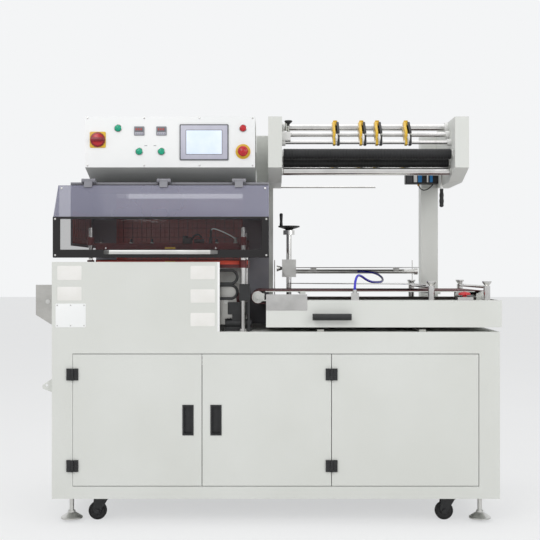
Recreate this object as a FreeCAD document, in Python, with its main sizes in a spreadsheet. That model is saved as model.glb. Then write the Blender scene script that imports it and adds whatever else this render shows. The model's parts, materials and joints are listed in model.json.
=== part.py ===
import FreeCAD, Part
import math
import os
import Sketcher

# L bar sealer: a cabinet on casters that carries a hooded L-shaped sealing jaw on the left, a sliding
# infeed table on the right and, on two rear columns, the control box and the film carriage.
# Millimetres. +X runs from the outfeed to the infeed as the operator sees it, +Y away from the operator.
# +Z is up. The origin is on the floor, in the middle of the outline.

SIZES = {
    # cabinet
    "cab_width": 1602, "cab_depth": 790, "cab_height": 597, "floor_gap": 92, "cab_wall": 3,
    "side_margin": 74, "top_margin": 78, "low_margin": 44, "return_depth": 24,
    "outfeed_reach": 76, "tray_reach": 7, "handle_reach": 40,
    "door_width": 463, "door_gap": 2.5, "door_thick": 18, "door_skin": 2, "post_size": 40,
    "hook_reach": 38, "hook_height": 52, "hook_thick": 4, "hook_hole": 5, "hook_above": 430,
    # door hinges and pulls
    "hinge_size": 42, "hinge_leaf": 5, "hinge_inset": 74, "barrel_radius": 6, "pin_radius": 3,
    "run_gap": 0.05, "end_gap": 0.3, "seat_gap": 0.3,
    "pull_width": 40, "pull_height": 109, "pull_inset": 50, "pull_flange": 2, "pull_rim": 4,
    "pull_depth": 14, "pull_wall": 2,
    # levelling feet and casters
    "foot_radius": 39, "foot_rise": 10, "foot_cone": 22, "foot_neck": 13, "foot_inset": 60,
    "stem_radius": 8, "stem_length": 118, "nut_size": 26, "nut_thick": 10,
    "caster_inset": 169, "caster_setback": 80, "wheel_radius": 33, "wheel_width": 24,
    "hub_radius": 12, "axle_radius": 5, "trail": 18, "caster_plate": 92, "caster_plate_thick": 4,
    "race_radius": 22, "race_height": 8, "crown_thick": 4, "cheek_thick": 3, "kingpin_radius": 5,
    "fork_gap": 0.4,
    # seal unit casing and hood
    "seal_width": 600, "seal_height": 250, "seal_depth": 575, "sheet": 3, "casing_return": 12,
    "chamber_width": 776, "exit_low": 146, "exit_front": 70, "exit_back": 545,
    "hood_gap": 15, "hood_inset": 3, "hood_width": 773, "hood_face": 147, "slant_rise": 132,
    "slant_run": 107, "glaze": 4, "hood_side_band": 26, "hood_low_band": 29, "hood_top_band": 8,
    "hood_band_thick": 8, "hood_pin": 4, "hood_lug": 30, "grip_length": 407, "grip_height": 15,
    "grip_reach": 34, "grip_thick": 8, "canopy_thick": 8, "guard_post": 10, "mesh_bar": 2.5,
    "mesh_pitch": 38, "mesh_sheet": 2, "stile_left": 61, "stile_width": 85, "guard_setback": 560,
    "end_plate_above": 311, "end_plate_inset": 45,
    # rear, louvres, glands and the gear plate
    "rear_beam": 190, "louvre_length": 300, "louvre_height": 6, "louvre_pitch": 18, "louvre_drop": 60,
    "gland_offset": 200, "gland_above": 60, "gland_radius": 16, "air_radius": 11,
    "gear_width": 900, "gear_height": 420, "gear_setback": 200, "barrel_web": 2,
    # jaws and their guide columns
    "jaw_left": 149, "jaw_length": 551, "jaw_setback": 45, "jaw_width": 30, "jaw_cross": 683,
    "jaw_cross_back": 535, "upper_jaw_above": 295, "upper_jaw_height": 15, "carrier_thick": 8,
    "lower_jaw_above": 229, "lower_jaw_height": 28, "jaw_tape": 2, "column_radius": 8,
    "column_height": 374, "column_front": 28, "column_left": 129, "column_rear": 560,
    "boss_radius": 13, "boss_height": 30, "column_foot": 14, "column_foot_thick": 10,
    # conveyors
    "belt_top": 146, "belt_front": 90, "belt_back": 520, "belt_thick": 2.2, "belt_slack": 0.3,
    "bed_plate": 4, "bed_low": 22, "bed_rise": 21, "outfeed_roller": 38, "outfeed_inset": 44,
    "outfeed_end": 141, "journal_radius": 8, "journal_reach": 12, "bed_sheet": 3, "bed_gap": 0.3,
    # infeed table
    "tray_left": 35, "tray_height": 96, "tray_lift": 16, "tray_back": 560, "tray_flange": 50,
    "infeed_roller": 22, "infeed_left": 90, "infeed_right": 782, "ear_length": 40, "ear_rise": 14,
    "rail_width": 24, "rail_height": 8, "rail_start": 4, "rail_length": 590, "slide_gap": 0.3,
    "slide_width": 70, "slide_length": 70, "slide_one": 160, "slide_two": 525, "slide_first": 200,
    "slide_second": 450, "pull_x": 199, "pull_length": 138, "pull_above": 38, "pull_bar": 12,
    "corner_length": 147, "corner_height": 57, "corner_rise": 22, "corner_thick": 2,
    "stop_x": 679, "stop_setback": 25, "stop_cap": 22, "stop_base": 28, "stop_base_height": 12,
    "clamp_one": 560, "clamp_two": 760, "clamp_front": 28, "clamp_rear": 545, "clamp_radius": 12,
    "clamp_height": 52, "knob_radius": 17, "knob_height": 17, "cross_radius": 6, "cross_above": 14,
    "plate_left": 46, "plate_right": 575, "plate_front": 130, "plate_back": 500, "plate_thick": 3,
    "plate_above": 5, "wire_radius": 2, "wire_height": 150,
    # film opener post
    "opener_x": 57, "opener_setback": 545, "opener_radius": 11, "opener_top": 366, "cap_radius": 24,
    "cap_height": 18, "carriage_width": 57, "carriage_height": 72, "carriage_depth": 44,
    "carriage_above": 192, "arm_length": 500, "arm_radius": 9, "arm_above": 215, "strip_above": 229,
    "strip_length": 445, "strip_thick": 3, "strip_front": 120, "sleeve_radius": 13,
    "sleeve_length": 14, "hand_radius": 44, "hand_height": 18, "crank_height": 52, "crank_radius": 7,
    "crank_offset": 32, "spindle_radius": 5, "nozzle_x": 290, "valve_x": 285, "valve_setback": 34,
    # rear columns and the film carriage
    "column_size": 70, "column_setback": 600, "column_top": 781, "column_one": 723,
    "column_two": 1410, "column_third": 111, "column_base": 110, "column_base_thick": 8,
    "beam_above": 641, "film_front": 170, "film_depth": 430, "film_low": 561, "film_top": 796,
    "film_face_low": 605, "chamfer_run": 136, "film_wall": 52, "film_left": 773, "film_span": 648,
    "flange_thick": 8, "box_left": 88, "box_width": 636, "box_depth": 260, "fascia": 2,
    "tube_radius": 13, "tube_setback": 330, "tube_above": 777, "bar_radius": 9, "bar_setback": 300,
    "bar_above": 745, "shaft_radius": 7, "shaft_setback": 262, "shaft_above": 710, "bush_radius": 17,
    "bush_length": 12, "nip_radius": 20, "nip_setback": 232, "nip_above": 662,
    "nip_two_setback": 290, "nip_two_above": 634, "chrome_radius": 16, "chrome_setback": 262,
    "chrome_above": 600, "idler_setback": 380, "idler_above": 668, "journal_gap": 2,
    "clip_width": 25, "clip_fit": 0.3, "lever_setback": 420, "lever_above": 640,
    "lever_length": 96, "lever_radius": 4, "lever_eye": 13, "lever_thick": 12, "lever_pin": 6,
    "grip_radius": 10, "grip_drop": 72, "guide_radius": 4, "guide_above": 569, "guide_length": 430,
    "drive_width": 134, "drive_height": 46, "drive_depth": 50, "drive_above": 576,
    # control panel
    "switch_radius": 28, "switch_plate": 60, "switch_rise": 22, "button_radius": 12,
    "button_rise": 10, "button_travel": 4, "collar_radius": 15, "collar_rise": 3,
    "stop_rise": 26, "stop_travel": 5, "stop_disc": 28, "panel_stem": 8, "stem_depth": 14,
    "screen_width": 183, "screen_height": 135, "screen_rise": 5, "meter_width": 39,
    "meter_height": 34, "meter_rise": 4, "panel_row_one": 146, "panel_row_two": 59,
    "panel_switch": 103, "switch_along": 48, "start_along": 124, "heater_one_along": 203,
    "heater_two_along": 286, "stops_along": 591, "screen_along": 354, "screen_low": 26,
    "meter_low": 119, "stop_button_radius": 19,
    # bay between the seal unit and the infeed
    "bay_setback": 44, "gearbox_left": 27, "gearbox_width": 76, "gearbox_depth": 34,
    "gearbox_low": 60, "gearbox_height": 44, "motor_radius": 17, "motor_length": 96, "bracket_above": 171, "bracket_height": 60,
    "loop_radius": 5, "loop_reach": 62, "loop_bend": 24, "loop_setback": 32,
    # air hose
    "hose_radius": 4.5,
}

doc = FreeCAD.newDocument("l_bar_sealer")
dim = doc.addObject("Spreadsheet::Sheet", "dim")
nodes = {}


def fill_sheet(values, first_row):
    """Put named plain numbers into the sheet, one row each."""
    for row, (name, number) in enumerate(values.items(), first_row):
        dim.set(f"A{row}", name)
        dim.set(f"B{row}", str(number))
        dim.setAlias(f"B{row}", name)
    doc.recompute()


def number(expression):
    """The present value of an expression."""
    return float(dim.evalExpression(str(expression)))


def bind(thing, **expressions):
    for prop, expression in expressions.items():
        thing.setExpression(prop, str(expression))
    return thing


def place(thing, x, y, z, turn=None):
    if turn is not None:
        thing.Placement = FreeCAD.Placement(FreeCAD.Vector(), turn)
    for axis, expression in zip("xyz", (x, y, z)):
        thing.setExpression(f"Placement.Base.{axis}", str(expression))
    return thing


def turned(axis):
    """The rotation that takes +Z to the named axis."""
    across = {"X": (0, 1, 0), "-X": (0, -1, 0), "Y": (-1, 0, 0), "-Y": (1, 0, 0)}
    if axis == "Z":
        return FreeCAD.Rotation()
    if axis == "-Z":
        return FreeCAD.Rotation(FreeCAD.Vector(1, 0, 0), 180)
    return FreeCAD.Rotation(FreeCAD.Vector(*across[axis]), 90)


def block(name, x, y, z):
    """A box between two limits on each axis."""
    thing = doc.addObject("Part::Box", name)
    for prop, (low, high) in zip(("Length", "Width", "Height"), (x, y, z)):
        thing.setExpression(prop, f"({high}) - ({low})")
    return place(thing, x[0], y[0], z[0])


def rod(name, axis, start, length, radius):
    """A cylinder from start, a point, along an axis."""
    thing = doc.addObject("Part::Cylinder", name)
    bind(thing, Radius=radius, Height=length)
    return place(thing, *start, turned(axis))


def cone(name, axis, start, length, radius_one, radius_two):
    thing = doc.addObject("Part::Cone", name)
    bind(thing, Radius1=radius_one, Radius2=radius_two, Height=length)
    return place(thing, *start, turned(axis))


def fuse(name, *things):
    if len(things) == 1:
        return things[0]
    thing = doc.addObject("Part::MultiFuse", name)
    thing.Shapes = list(things)
    thing.Refine = True
    return thing


def cut(name, base, *tools):
    thing = doc.addObject("Part::Cut", name)
    thing.Base = base
    thing.Tool = fuse(name + "_tools", *tools)
    return thing


def node(label, *things):
    """Name a finished sub-part. Several things become one group of separate solids."""
    thing = things[0]
    if len(things) > 1:
        thing = doc.addObject("Part::Compound", label)
        thing.Links = list(things)
    thing.Label = label
    nodes[label] = thing
    return thing


def outline(body, plane, points, name="outline"):
    """A closed sketch of straight sides on a plane of the body, each corner tied to its two expressions."""
    sketch = body.newObject("Sketcher::SketchObject", name)
    support = next(item for item in body.Origin.OriginFeatures if item.Role == plane)
    sketch.AttachmentSupport = [(support, "")]
    sketch.MapMode = "FlatFace"
    corners = [FreeCAD.Vector(number(u), number(v), 0) for u, v in points]
    count = len(corners)
    for index in range(count):
        sketch.addGeometry(Part.LineSegment(corners[index], corners[(index + 1) % count]))
    for index in range(count):
        sketch.addConstraint(Sketcher.Constraint("Coincident", index, 2, (index + 1) % count, 1))
    for index, pair in enumerate(points):
        for kind, expression, value in zip(("DistanceX", "DistanceY"), pair, corners[index]):
            tie = sketch.addConstraint(Sketcher.Constraint(kind, -1, 1, index, 1, value))
            sketch.setExpression(f"Constraints[{tie}]", str(expression))
    return sketch


def profile(name, plane, points, depth, at=0):
    """An outline padded by depth. XY pads up from z = at, YZ along +X from x = at, XZ towards -Y from y = at."""
    body = doc.addObject("PartDesign::Body", name)
    pad = body.newObject("PartDesign::Pad", "pad")
    pad.Profile = outline(body, plane + "_Plane", points)
    pad.setExpression("Length", str(depth))
    along = {"XY": (0, 0, at), "XZ": (0, at, 0), "YZ": (at, 0, 0)}[plane]
    return place(body, *along)


def turning(name, points, at=(0, 0, 0), axis="Z"):
    """A half outline of (radius, height) points turned about its own axis, then stood on that axis at a point."""
    body = doc.addObject("PartDesign::Body", name)
    turn = body.newObject("PartDesign::Revolution", "turn")
    sketch = outline(body, "XZ_Plane", points, "half_outline")
    turn.Profile = sketch
    turn.ReferenceAxis = (sketch, ["V_Axis"])
    turn.Angle = 360
    return place(body, *at, turned(axis))


fill_sheet(SIZES, 1)

# Planes that many pieces share.
mid = "((dim.outfeed_reach - dim.tray_reach) / 2)"
left = f"({mid} - dim.cab_width / 2)"
right = f"({mid} + dim.cab_width / 2)"
front = "((dim.handle_reach - dim.cab_depth) / 2)"
back = f"({front} + dim.cab_depth)"
base = "dim.floor_gap"
deck = "(dim.floor_gap + dim.cab_height)"
field_left = f"({left} + dim.side_margin)"
field_right = f"({right} - dim.side_margin)"
field_low = f"({base} + dim.low_margin)"
field_top = f"({deck} - dim.top_margin)"
door_split = f"({field_left} + dim.door_width)"
panel_split = f"({field_left} + 2 * dim.door_width)"
inner_front = f"({front} + dim.cab_wall)"


def behind(distance):
    """A depth measured back from the cabinet's front face."""
    return f"({front} + {distance})"


# ---- cabinet ----
def cabinet():
    wall = "dim.cab_wall"
    shell = block("cab_outer", (left, right), (front, back), (base, deck))
    hollow = block("cab_hollow", (f"{left} + {wall}", f"{right} - {wall}"), (inner_front, f"{back} - {wall}"),
                   (f"{base} + {wall}", f"{deck} - {wall}"))
    door_hole = block("door_field", (field_left, field_right), (f"{front} - 1", f"{inner_front} + 1"),
                      (field_low, field_top))
    back_hole = block("rear_field", (field_left, field_right), (f"{back} - {wall} - 1", f"{back} + 1"),
                      (field_low, field_top))
    stem_holes = [rod(f"stem_hole_{side}_{row}", "Z", (x, y, f"{base} - 1"), f"{wall} + 2",
                      "dim.stem_radius + dim.run_gap")
                  for side, row, x, y in corners("dim.foot_inset", "dim.foot_inset")]
    open_shell = cut("cab_open", shell, hollow, door_hole, back_hole, *stem_holes)
    deep = (inner_front, f"{inner_front} + dim.return_depth")
    returns = [
        block("return_left", (f"{field_left} - {wall}", field_left), deep, (field_low, field_top)),
        block("return_right", (field_right, f"{field_right} + {wall}"), deep, (field_low, field_top)),
        block("return_top", (f"{field_left} - {wall}", f"{field_right} + {wall}"), deep,
              (field_top, f"{field_top} + {wall}")),
        block("return_low", (f"{field_left} - {wall}", f"{field_right} + {wall}"), deep,
              (f"{field_low} - {wall}", field_low)),
        block("hinge_post", (f"{panel_split} + dim.door_gap", f"{panel_split} + dim.post_size"),
              (f"{front} + dim.door_thick", f"{front} + dim.door_thick + dim.post_size"),
              (f"{base} + {wall}", f"{deck} - {wall}")),
        block("deck_beam", (f"{left} + {wall}", f"{right} - {wall}"),
              (f"{back} - dim.rear_beam", f"{back} - dim.rear_beam + dim.post_size"),
              (f"{deck} - {wall} - dim.post_size", f"{deck} - {wall}")),
    ]
    hook_top = f"({base} + dim.hook_above)"
    hook = profile("hook_plate", "XZ", [(left, hook_top), (f"{left} - dim.hook_reach", f"{hook_top} - dim.hook_height / 2"),
                                        (f"{left} - dim.hook_reach", f"{hook_top} - dim.hook_height / 2 - 12"),
                                        (left, f"{hook_top} - dim.hook_height")], "dim.hook_thick", behind(24))
    eye = rod("hook_eye", "Y", (f"{left} - dim.hook_reach / 2 - 4", behind(10), f"{hook_top} - dim.hook_height / 2"),
              20, "dim.hook_hole")
    node("cabinet_frame", fuse("cab_weldment", open_shell, *returns, cut("hook", hook, eye)))


def corners(inset_x, inset_y):
    """The four corners of the cabinet's plan, inset on each side: name parts and expressions."""
    for side, x in (("left", f"({left} + {inset_x})"), ("right", f"({right} - {inset_x})")):
        for row, y in (("front", f"({front} + {inset_y})"), ("rear", f"({back} - {inset_y})")):
            yield side, row, x, y


def cover_panels():
    gap = "dim.door_gap"
    thick = "dim.door_thick"
    skin = "dim.door_skin"
    front_pan = pan("front_cover", (f"{panel_split} + {gap} / 2", f"{field_right} - {gap}"), front)
    rear = []
    for name, x in (("rear_left", (f"{field_left} + {gap}", f"{mid} - {gap} / 2")),
                    ("rear_right", (f"{mid} + {gap} / 2", f"{field_right} - {gap}"))):
        sheet = block(name + "_sheet", x, (f"{back} - {skin}", back), (f"{field_low} + {gap}", f"{field_top} - {gap}"))
        slots = [block(f"{name}_louvre_{index}", (f"({x[0]} + {x[1]}) / 2 - dim.louvre_length / 2",
                                                  f"({x[0]} + {x[1]}) / 2 + dim.louvre_length / 2"),
                       (f"{back} - {thick}", f"{back} + 1"),
                       (f"{field_top} - dim.louvre_drop - {index} * dim.louvre_pitch",
                        f"{field_top} - dim.louvre_drop - {index} * dim.louvre_pitch + dim.louvre_height"))
                 for index in range(6)]
        rear.append(cut(name, sheet, *slots))
    lips = block("rear_lip", (f"{mid} - 12", f"{mid} + 12"), (f"{back} - {skin} - 3", f"{back} - {skin}"),
                 (field_low, field_top))
    holes = [rod("gland_hole", "Y", (f"{mid} + dim.gland_offset", f"{back} - 20", f"{field_low} + dim.gland_above"),
                 40, "dim.gland_radius"),
             rod("air_hole", "Y", (f"{mid} + 2 * dim.gland_offset", f"{back} - 20", f"{field_low} + dim.gland_above"),
                 40, "dim.air_radius")]
    rear[1] = cut("rear_right_drilled", rear[1], *holes)
    node("cabinet_cover_panels", front_pan, *rear, lips)


def pan(name, x, face):
    """A folded sheet pan between two X limits, open behind, filling the door field's height."""
    z = (f"{field_low} + dim.door_gap", f"{field_top} - dim.door_gap")
    outer = block(name + "_outer", x, (face, f"{face} + dim.door_thick"), z)
    inner = block(name + "_inner", (f"{x[0]} + dim.door_skin", f"{x[1]} - dim.door_skin"),
                  (f"{face} + dim.door_skin", f"{face} + dim.door_thick + 1"),
                  (f"{z[0]} + dim.door_skin", f"{z[1]} - dim.door_skin"))
    return cut(name, outer, inner)


def door(side, x, pull_x):
    """One folded door with the opening for its pull, and its fittings: the pull cup and two hinge leaves."""
    half_w, half_h = "(dim.pull_width / 2 - dim.pull_rim)", "(dim.pull_height / 2 - dim.pull_rim)"
    height = f"(({field_low} + {field_top}) / 2)"
    hole = block(f"pull_hole_{side}", (f"{pull_x} - {half_w}", f"{pull_x} + {half_w}"),
                 (f"{front} - 1", f"{front} + dim.door_thick"), (f"{height} - {half_h}", f"{height} + {half_h}"))
    node(f"door_{side}", cut(f"door_{side}_sheet", pan(f"door_{side}_pan", x, front), hole))
    flange = block(f"pull_flange_{side}", (f"{pull_x} - dim.pull_width / 2", f"{pull_x} + dim.pull_width / 2"),
                   (f"{front} - dim.pull_flange", front),
                   (f"{height} - dim.pull_height / 2", f"{height} + dim.pull_height / 2"))
    slack = "dim.seat_gap"
    cup = block(f"pull_cup_{side}", (f"{pull_x} - {half_w} + {slack}", f"{pull_x} + {half_w} - {slack}"),
                (f"{front} - dim.pull_flange", f"{front} + dim.pull_depth"),
                (f"{height} - {half_h} + {slack}", f"{height} + {half_h} - {slack}"))
    recess = block(f"pull_recess_{side}", (f"{pull_x} - {half_w} + dim.pull_wall + {slack}",
                                           f"{pull_x} + {half_w} - dim.pull_wall - {slack}"),
                   (f"{front} - dim.pull_flange - 1", f"{front} + dim.pull_depth - dim.pull_wall"),
                   (f"{height} - {half_h} + dim.pull_wall + {slack}", f"{height} + {half_h} - dim.pull_wall - {slack}"))
    pull = cut(f"pull_{side}", fuse(f"pull_body_{side}", flange, cup), recess)
    hinge_x, toward = {"left": (field_left, 1), "right": (panel_split, -1)}[side]
    leaves = [hinge_half(f"door_leaf_{side}_{index}", hinge_x, z, toward, False)
              for index, z in enumerate(hinge_heights)]
    node(f"door_{side}_fittings", pull, *leaves)


hinge_heights = (f"({field_low} + dim.hinge_inset)", f"({field_top} - dim.hinge_inset)")


def hinge_half(name, x, z, toward, holds_pin):
    """Half of a square cast hinge, with its leaf to the right (toward 1) or left (-1) of the pin's line.
    The frame's half has the two end knuckles and holds the pin; the door's half has the middle knuckle."""
    size, barrel = "dim.hinge_size", "dim.barrel_radius"
    pin_y = f"({front} - {barrel} - dim.seat_gap)"
    inner, outer = f"({barrel} + dim.end_gap)", f"({size} / 2)"
    across = (f"{x} + {inner}", f"{x} + {outer}") if toward > 0 else (f"{x} - {outer}", f"{x} - {inner}")
    leaf = block(name + "_leaf", across, (f"{front} - dim.hinge_leaf", front), (f"{z} - {size} / 2", f"{z} + {size} / 2"))
    reach = (x, across[0]) if toward > 0 else (across[1], x)
    if holds_pin:
        spans = [(f"{z} - {size} / 2", f"{z} - {size} / 6"), (f"{z} + {size} / 6", f"{z} + {size} / 2")]
    else:
        spans = [(f"{z} - {size} / 6 + dim.end_gap", f"{z} + {size} / 6 - dim.end_gap")]
    knuckles = []
    for index, (low, high) in enumerate(spans):
        knuckles.append(rod(f"{name}_knuckle_{index}", "Z", (x, pin_y, low), f"{high} - ({low})", barrel))
        knuckles.append(block(f"{name}_web_{index}", reach, (f"{pin_y} - dim.barrel_web", f"{pin_y} + dim.barrel_web"),
                              (low, high)))
        knuckles.append(block(f"{name}_heel_{index}", across, (pin_y, front), (low, high)))
    if holds_pin:
        pin = rod(name + "_pin", "Z", (x, pin_y, f"{z} - {size} / 2"), size, "dim.pin_radius")
        return fuse(name, leaf, *knuckles, pin)
    bore = rod(name + "_bore", "Z", (x, pin_y, f"{z} - {size} / 2"), size, "dim.pin_radius + dim.run_gap")
    return cut(name, fuse(name + "_solid", leaf, *knuckles), bore)


def doors():
    door("left", (f"{field_left} + dim.door_gap / 2", f"{door_split} - dim.door_gap / 2"),
         f"({door_split} - dim.pull_inset)")
    door("right", (f"{door_split} + dim.door_gap / 2", f"{panel_split} - dim.door_gap / 2"),
         f"({door_split} + dim.pull_inset)")
    halves = []
    for x, toward in ((field_left, -1), (panel_split, 1)):
        for index, z in enumerate(hinge_heights):
            halves.append(hinge_half(f"frame_leaf_{toward}_{index}".replace("-", "m"), x, z, toward, True))
    node("hinge_frame_leaves", *halves)


def electrical_gear():
    """The mounting plate inside the cabinet with the inverter, contactors, supply and air valves."""
    plate_y = f"({back} - dim.cab_wall - dim.gear_setback)"
    floor = f"({base} + dim.cab_wall)"
    x0 = f"({mid} - dim.gear_width / 2)"
    plate = block("gear_plate", (x0, f"{x0} + dim.gear_width"), (plate_y, f"{plate_y} + 3"),
                  (floor, f"{floor} + dim.gear_height"))
    feet = [block(f"gear_foot_{index}", (f"{x0} + {at}", f"{x0} + {at} + 30"), (f"{plate_y} - 40", f"{plate_y}"),
                  (floor, f"{floor} + 4")) for index, at in enumerate((40, 830))]
    gear = [fuse("gear_panel", plate, *feet)]
    for name, at, width, low, high, deep in (
            ("inverter", 60, 110, 210, 380, 130), ("second_inverter", 200, 110, 210, 380, 130),
            ("transformer", 60, 150, 50, 160, 120), ("supply", 350, 100, 250, 380, 100),
            ("contactors", 480, 240, 290, 370, 70), ("relays", 480, 240, 180, 240, 60),
            ("terminals", 260, 560, 70, 110, 45), ("valves", 760, 90, 200, 340, 60)):
        gear.append(block(name, (f"{x0} + {at}", f"{x0} + {at + width}"), (f"{plate_y} - {deep}", plate_y),
                          (f"{floor} + {low}", f"{floor} + {high}")))
    node("electrical_gear", *gear)


# ---- feet and casters ----
def levelling_feet():
    feet = []
    for side, row, x, y in corners("dim.foot_inset", "dim.foot_inset"):
        pad = turning(f"foot_{side}_{row}", [
            ("0", "0"), ("dim.foot_radius", "0"), ("dim.foot_radius", "5"), ("dim.foot_neck", "dim.foot_cone"),
            ("dim.foot_neck", "dim.foot_cone + 6"), ("dim.stem_radius", "dim.foot_cone + 6"),
            ("dim.stem_radius", "dim.stem_length"), ("0", "dim.stem_length")], (x, y, "dim.foot_rise"))
        feet.append(pad)
    node("levelling_feet", *feet)


def foot_nuts():
    """The nut plates under the cabinet that the feet's stems run in."""
    nuts = []
    for side, row, x, y in corners("dim.foot_inset", "dim.foot_inset"):
        half = "dim.nut_size / 2"
        body = block(f"foot_nut_{side}_{row}", (f"{x} - {half}", f"{x} + {half}"), (f"{y} - {half}", f"{y} + {half}"),
                     (f"{base} - dim.nut_thick", base))
        hole = rod(f"foot_nut_bore_{side}_{row}", "Z", (x, y, f"{base} - dim.nut_thick - 1"), "dim.nut_thick + 2",
                   "dim.stem_radius + dim.run_gap")
        nuts.append(cut(f"nut_{side}_{row}", body, hole))
    return nuts


def fork(name, x, y, swivels):
    """A twin-cheek caster fork about its kingpin, trailing to the left."""
    plate_low = f"({base} - dim.caster_plate_thick)"
    crown_top = f"({plate_low} - dim.race_height - dim.fork_gap)"
    crown_low = f"({crown_top} - dim.crown_thick)"
    hub_x = f"({x} - dim.trail)"
    half = "(dim.wheel_width / 2 + dim.fork_gap)"
    crown = block(name + "_crown", (f"{x} - dim.race_radius - 8", f"{x} + dim.race_radius"),
                  (f"{y} - {half} - dim.cheek_thick", f"{y} + {half} + dim.cheek_thick"), (crown_low, crown_top))
    pieces = [crown]
    cheek = [(f"{x} + dim.race_radius", crown_top), (f"{x} - dim.race_radius - 8", crown_top),
             (f"{hub_x} - 16", "dim.wheel_radius + 6"), (f"{hub_x} - 8", "dim.wheel_radius - 12"),
             (f"{hub_x} + 8", "dim.wheel_radius - 12"), (f"{hub_x} + 17", "dim.wheel_radius + 8")]
    for tag, face in (("a", f"{y} - {half}"), ("b", f"{y} + {half} + dim.cheek_thick")):
        pieces.append(profile(f"{name}_cheek_{tag}", "XZ", cheek, "dim.cheek_thick", face))
    reach = f"({half} + dim.cheek_thick + 5)"
    pieces.append(rod(name + "_axle", "Y", (hub_x, f"{y} - {reach}", "dim.wheel_radius"), f"2 * {reach}",
                      "dim.axle_radius"))
    for tag, face in (("a", f"{y} - {reach}"), ("b", f"{y} + {reach} - 5")):
        pieces.append(rod(f"{name}_bolt_{tag}", "Y", (hub_x, face, "dim.wheel_radius"), 5, "dim.axle_radius + 3"))
    solid = fuse(name + "_solid", *pieces)
    if not swivels:
        return solid
    bore = rod(name + "_bore", "Z", (x, y, f"{crown_low} - 1"), "dim.crown_thick + 2",
               "dim.kingpin_radius + dim.run_gap")
    return cut(name, solid, bore)


def casters():
    plate_low = f"({base} - dim.caster_plate_thick)"
    race_low = f"({plate_low} - dim.race_height)"
    mounts = foot_nuts()
    for side, row, x, y in corners("dim.caster_inset", "dim.caster_setback"):
        tag = f"{row}_{side}"
        swivels = row == "front"
        plate = block(f"caster_plate_{tag}", (f"{x} - dim.caster_plate / 2", f"{x} + dim.caster_plate / 2"),
                      (f"{y} - dim.caster_plate / 2 + 10", f"{y} + dim.caster_plate / 2 - 10"), (plate_low, base))
        race = rod(f"caster_race_{tag}", "Z", (x, y, race_low), "dim.race_height", "dim.race_radius")
        if swivels:
            under = f"({race_low} - 2 * dim.fork_gap - dim.crown_thick)"
            pin = rod(f"kingpin_{tag}", "Z", (x, y, f"{under} - 3"), "dim.race_height + dim.crown_thick + 6",
                      "dim.kingpin_radius")
            head = rod(f"kingpin_head_{tag}", "Z", (x, y, f"{under} - 4"), 4, "dim.kingpin_radius + 4")
            mounts.append(fuse(f"caster_mount_{tag}", plate, race, pin, head))
            node(f"caster_fork_{tag}", fork(f"fork_{tag}", x, y, True))
        else:
            neck = rod(f"caster_neck_{tag}", "Z", (x, y, f"{race_low} - dim.fork_gap - 1"), "dim.fork_gap + 2",
                       "dim.kingpin_radius + 4")
            mounts.append(fuse(f"caster_mount_{tag}", plate, race, neck, fork(f"fork_{tag}", x, y, False)))
        half = "dim.wheel_width / 2"
        hub_y = f"({y} - {half})"
        wheel = turning(f"wheel_{tag}", [
            ("dim.axle_radius + dim.run_gap", "0"), ("dim.hub_radius", "0"), ("dim.hub_radius + 3", "3"),
            ("dim.wheel_radius - 7", "3"), ("dim.wheel_radius - 5", "1"), ("dim.wheel_radius - 1.5", "2"),
            ("dim.wheel_radius", "6"), ("dim.wheel_radius", "dim.wheel_width - 6"),
            ("dim.wheel_radius - 1.5", "dim.wheel_width - 2"), ("dim.wheel_radius - 5", "dim.wheel_width - 1"),
            ("dim.wheel_radius - 7", "dim.wheel_width - 3"), ("dim.hub_radius + 3", "dim.wheel_width - 3"),
            ("dim.hub_radius", "dim.wheel_width"), ("dim.axle_radius + dim.run_gap", "dim.wheel_width")],
            (f"{x} - dim.trail", hub_y, "dim.wheel_radius"), "Y")
        node(f"caster_wheel_{tag}", wheel)
    node("caster_mounts", *mounts)


# ---- seal unit ----
seal_top = f"({deck} + dim.seal_height)"
seal_right = f"({left} + dim.seal_width)"
hood_left = f"({left} + dim.hood_inset)"
hood_right = f"({hood_left} + dim.hood_width)"
hood_low = f"({seal_top} + dim.hood_gap)"
hood_bend = f"({hood_low} + dim.hood_face)"
hood_top = f"({hood_bend} + dim.slant_rise)"
hood_axis_y = behind("dim.slant_run - 5")
hood_axis_z = f"({hood_top} + 5)"


def seal_casing():
    sheet = "dim.sheet"
    cover = block("cover_sheet", (left, seal_right), (front, f"{front} + {sheet}"), (deck, seal_top))
    ledge = block("cover_ledge", (left, seal_right), (front, f"{front} + 2 * dim.casing_return"),
                  (f"{seal_top} - {sheet}", seal_top))
    fold = block("cover_fold", (f"{seal_right} - {sheet}", seal_right), (front, f"{front} + dim.casing_return"),
                 (deck, seal_top))
    side = block("side_sheet", (left, f"{left} + {sheet}"), (front, behind("dim.seal_depth")), (deck, seal_top))
    exit_hole = block("exit_hole", (f"{left} - 1", f"{left} + {sheet} + 1"),
                      (behind("dim.belt_front - 2 * dim.bed_plate - 2"), behind("dim.belt_back + 2 * dim.bed_plate + 2")),
                      (f"{deck} + dim.bed_low - 6", f"{seal_top} + 1"))
    rear = block("rear_sheet", (left, f"{left} + dim.chamber_width"),
                 (behind(f"dim.seal_depth - {sheet}"), behind("dim.seal_depth")), (deck, seal_top))
    node("seal_unit_casing", fuse("casing", cover, ledge, fold, cut("side_wall", side, exit_hole), rear))


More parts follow.
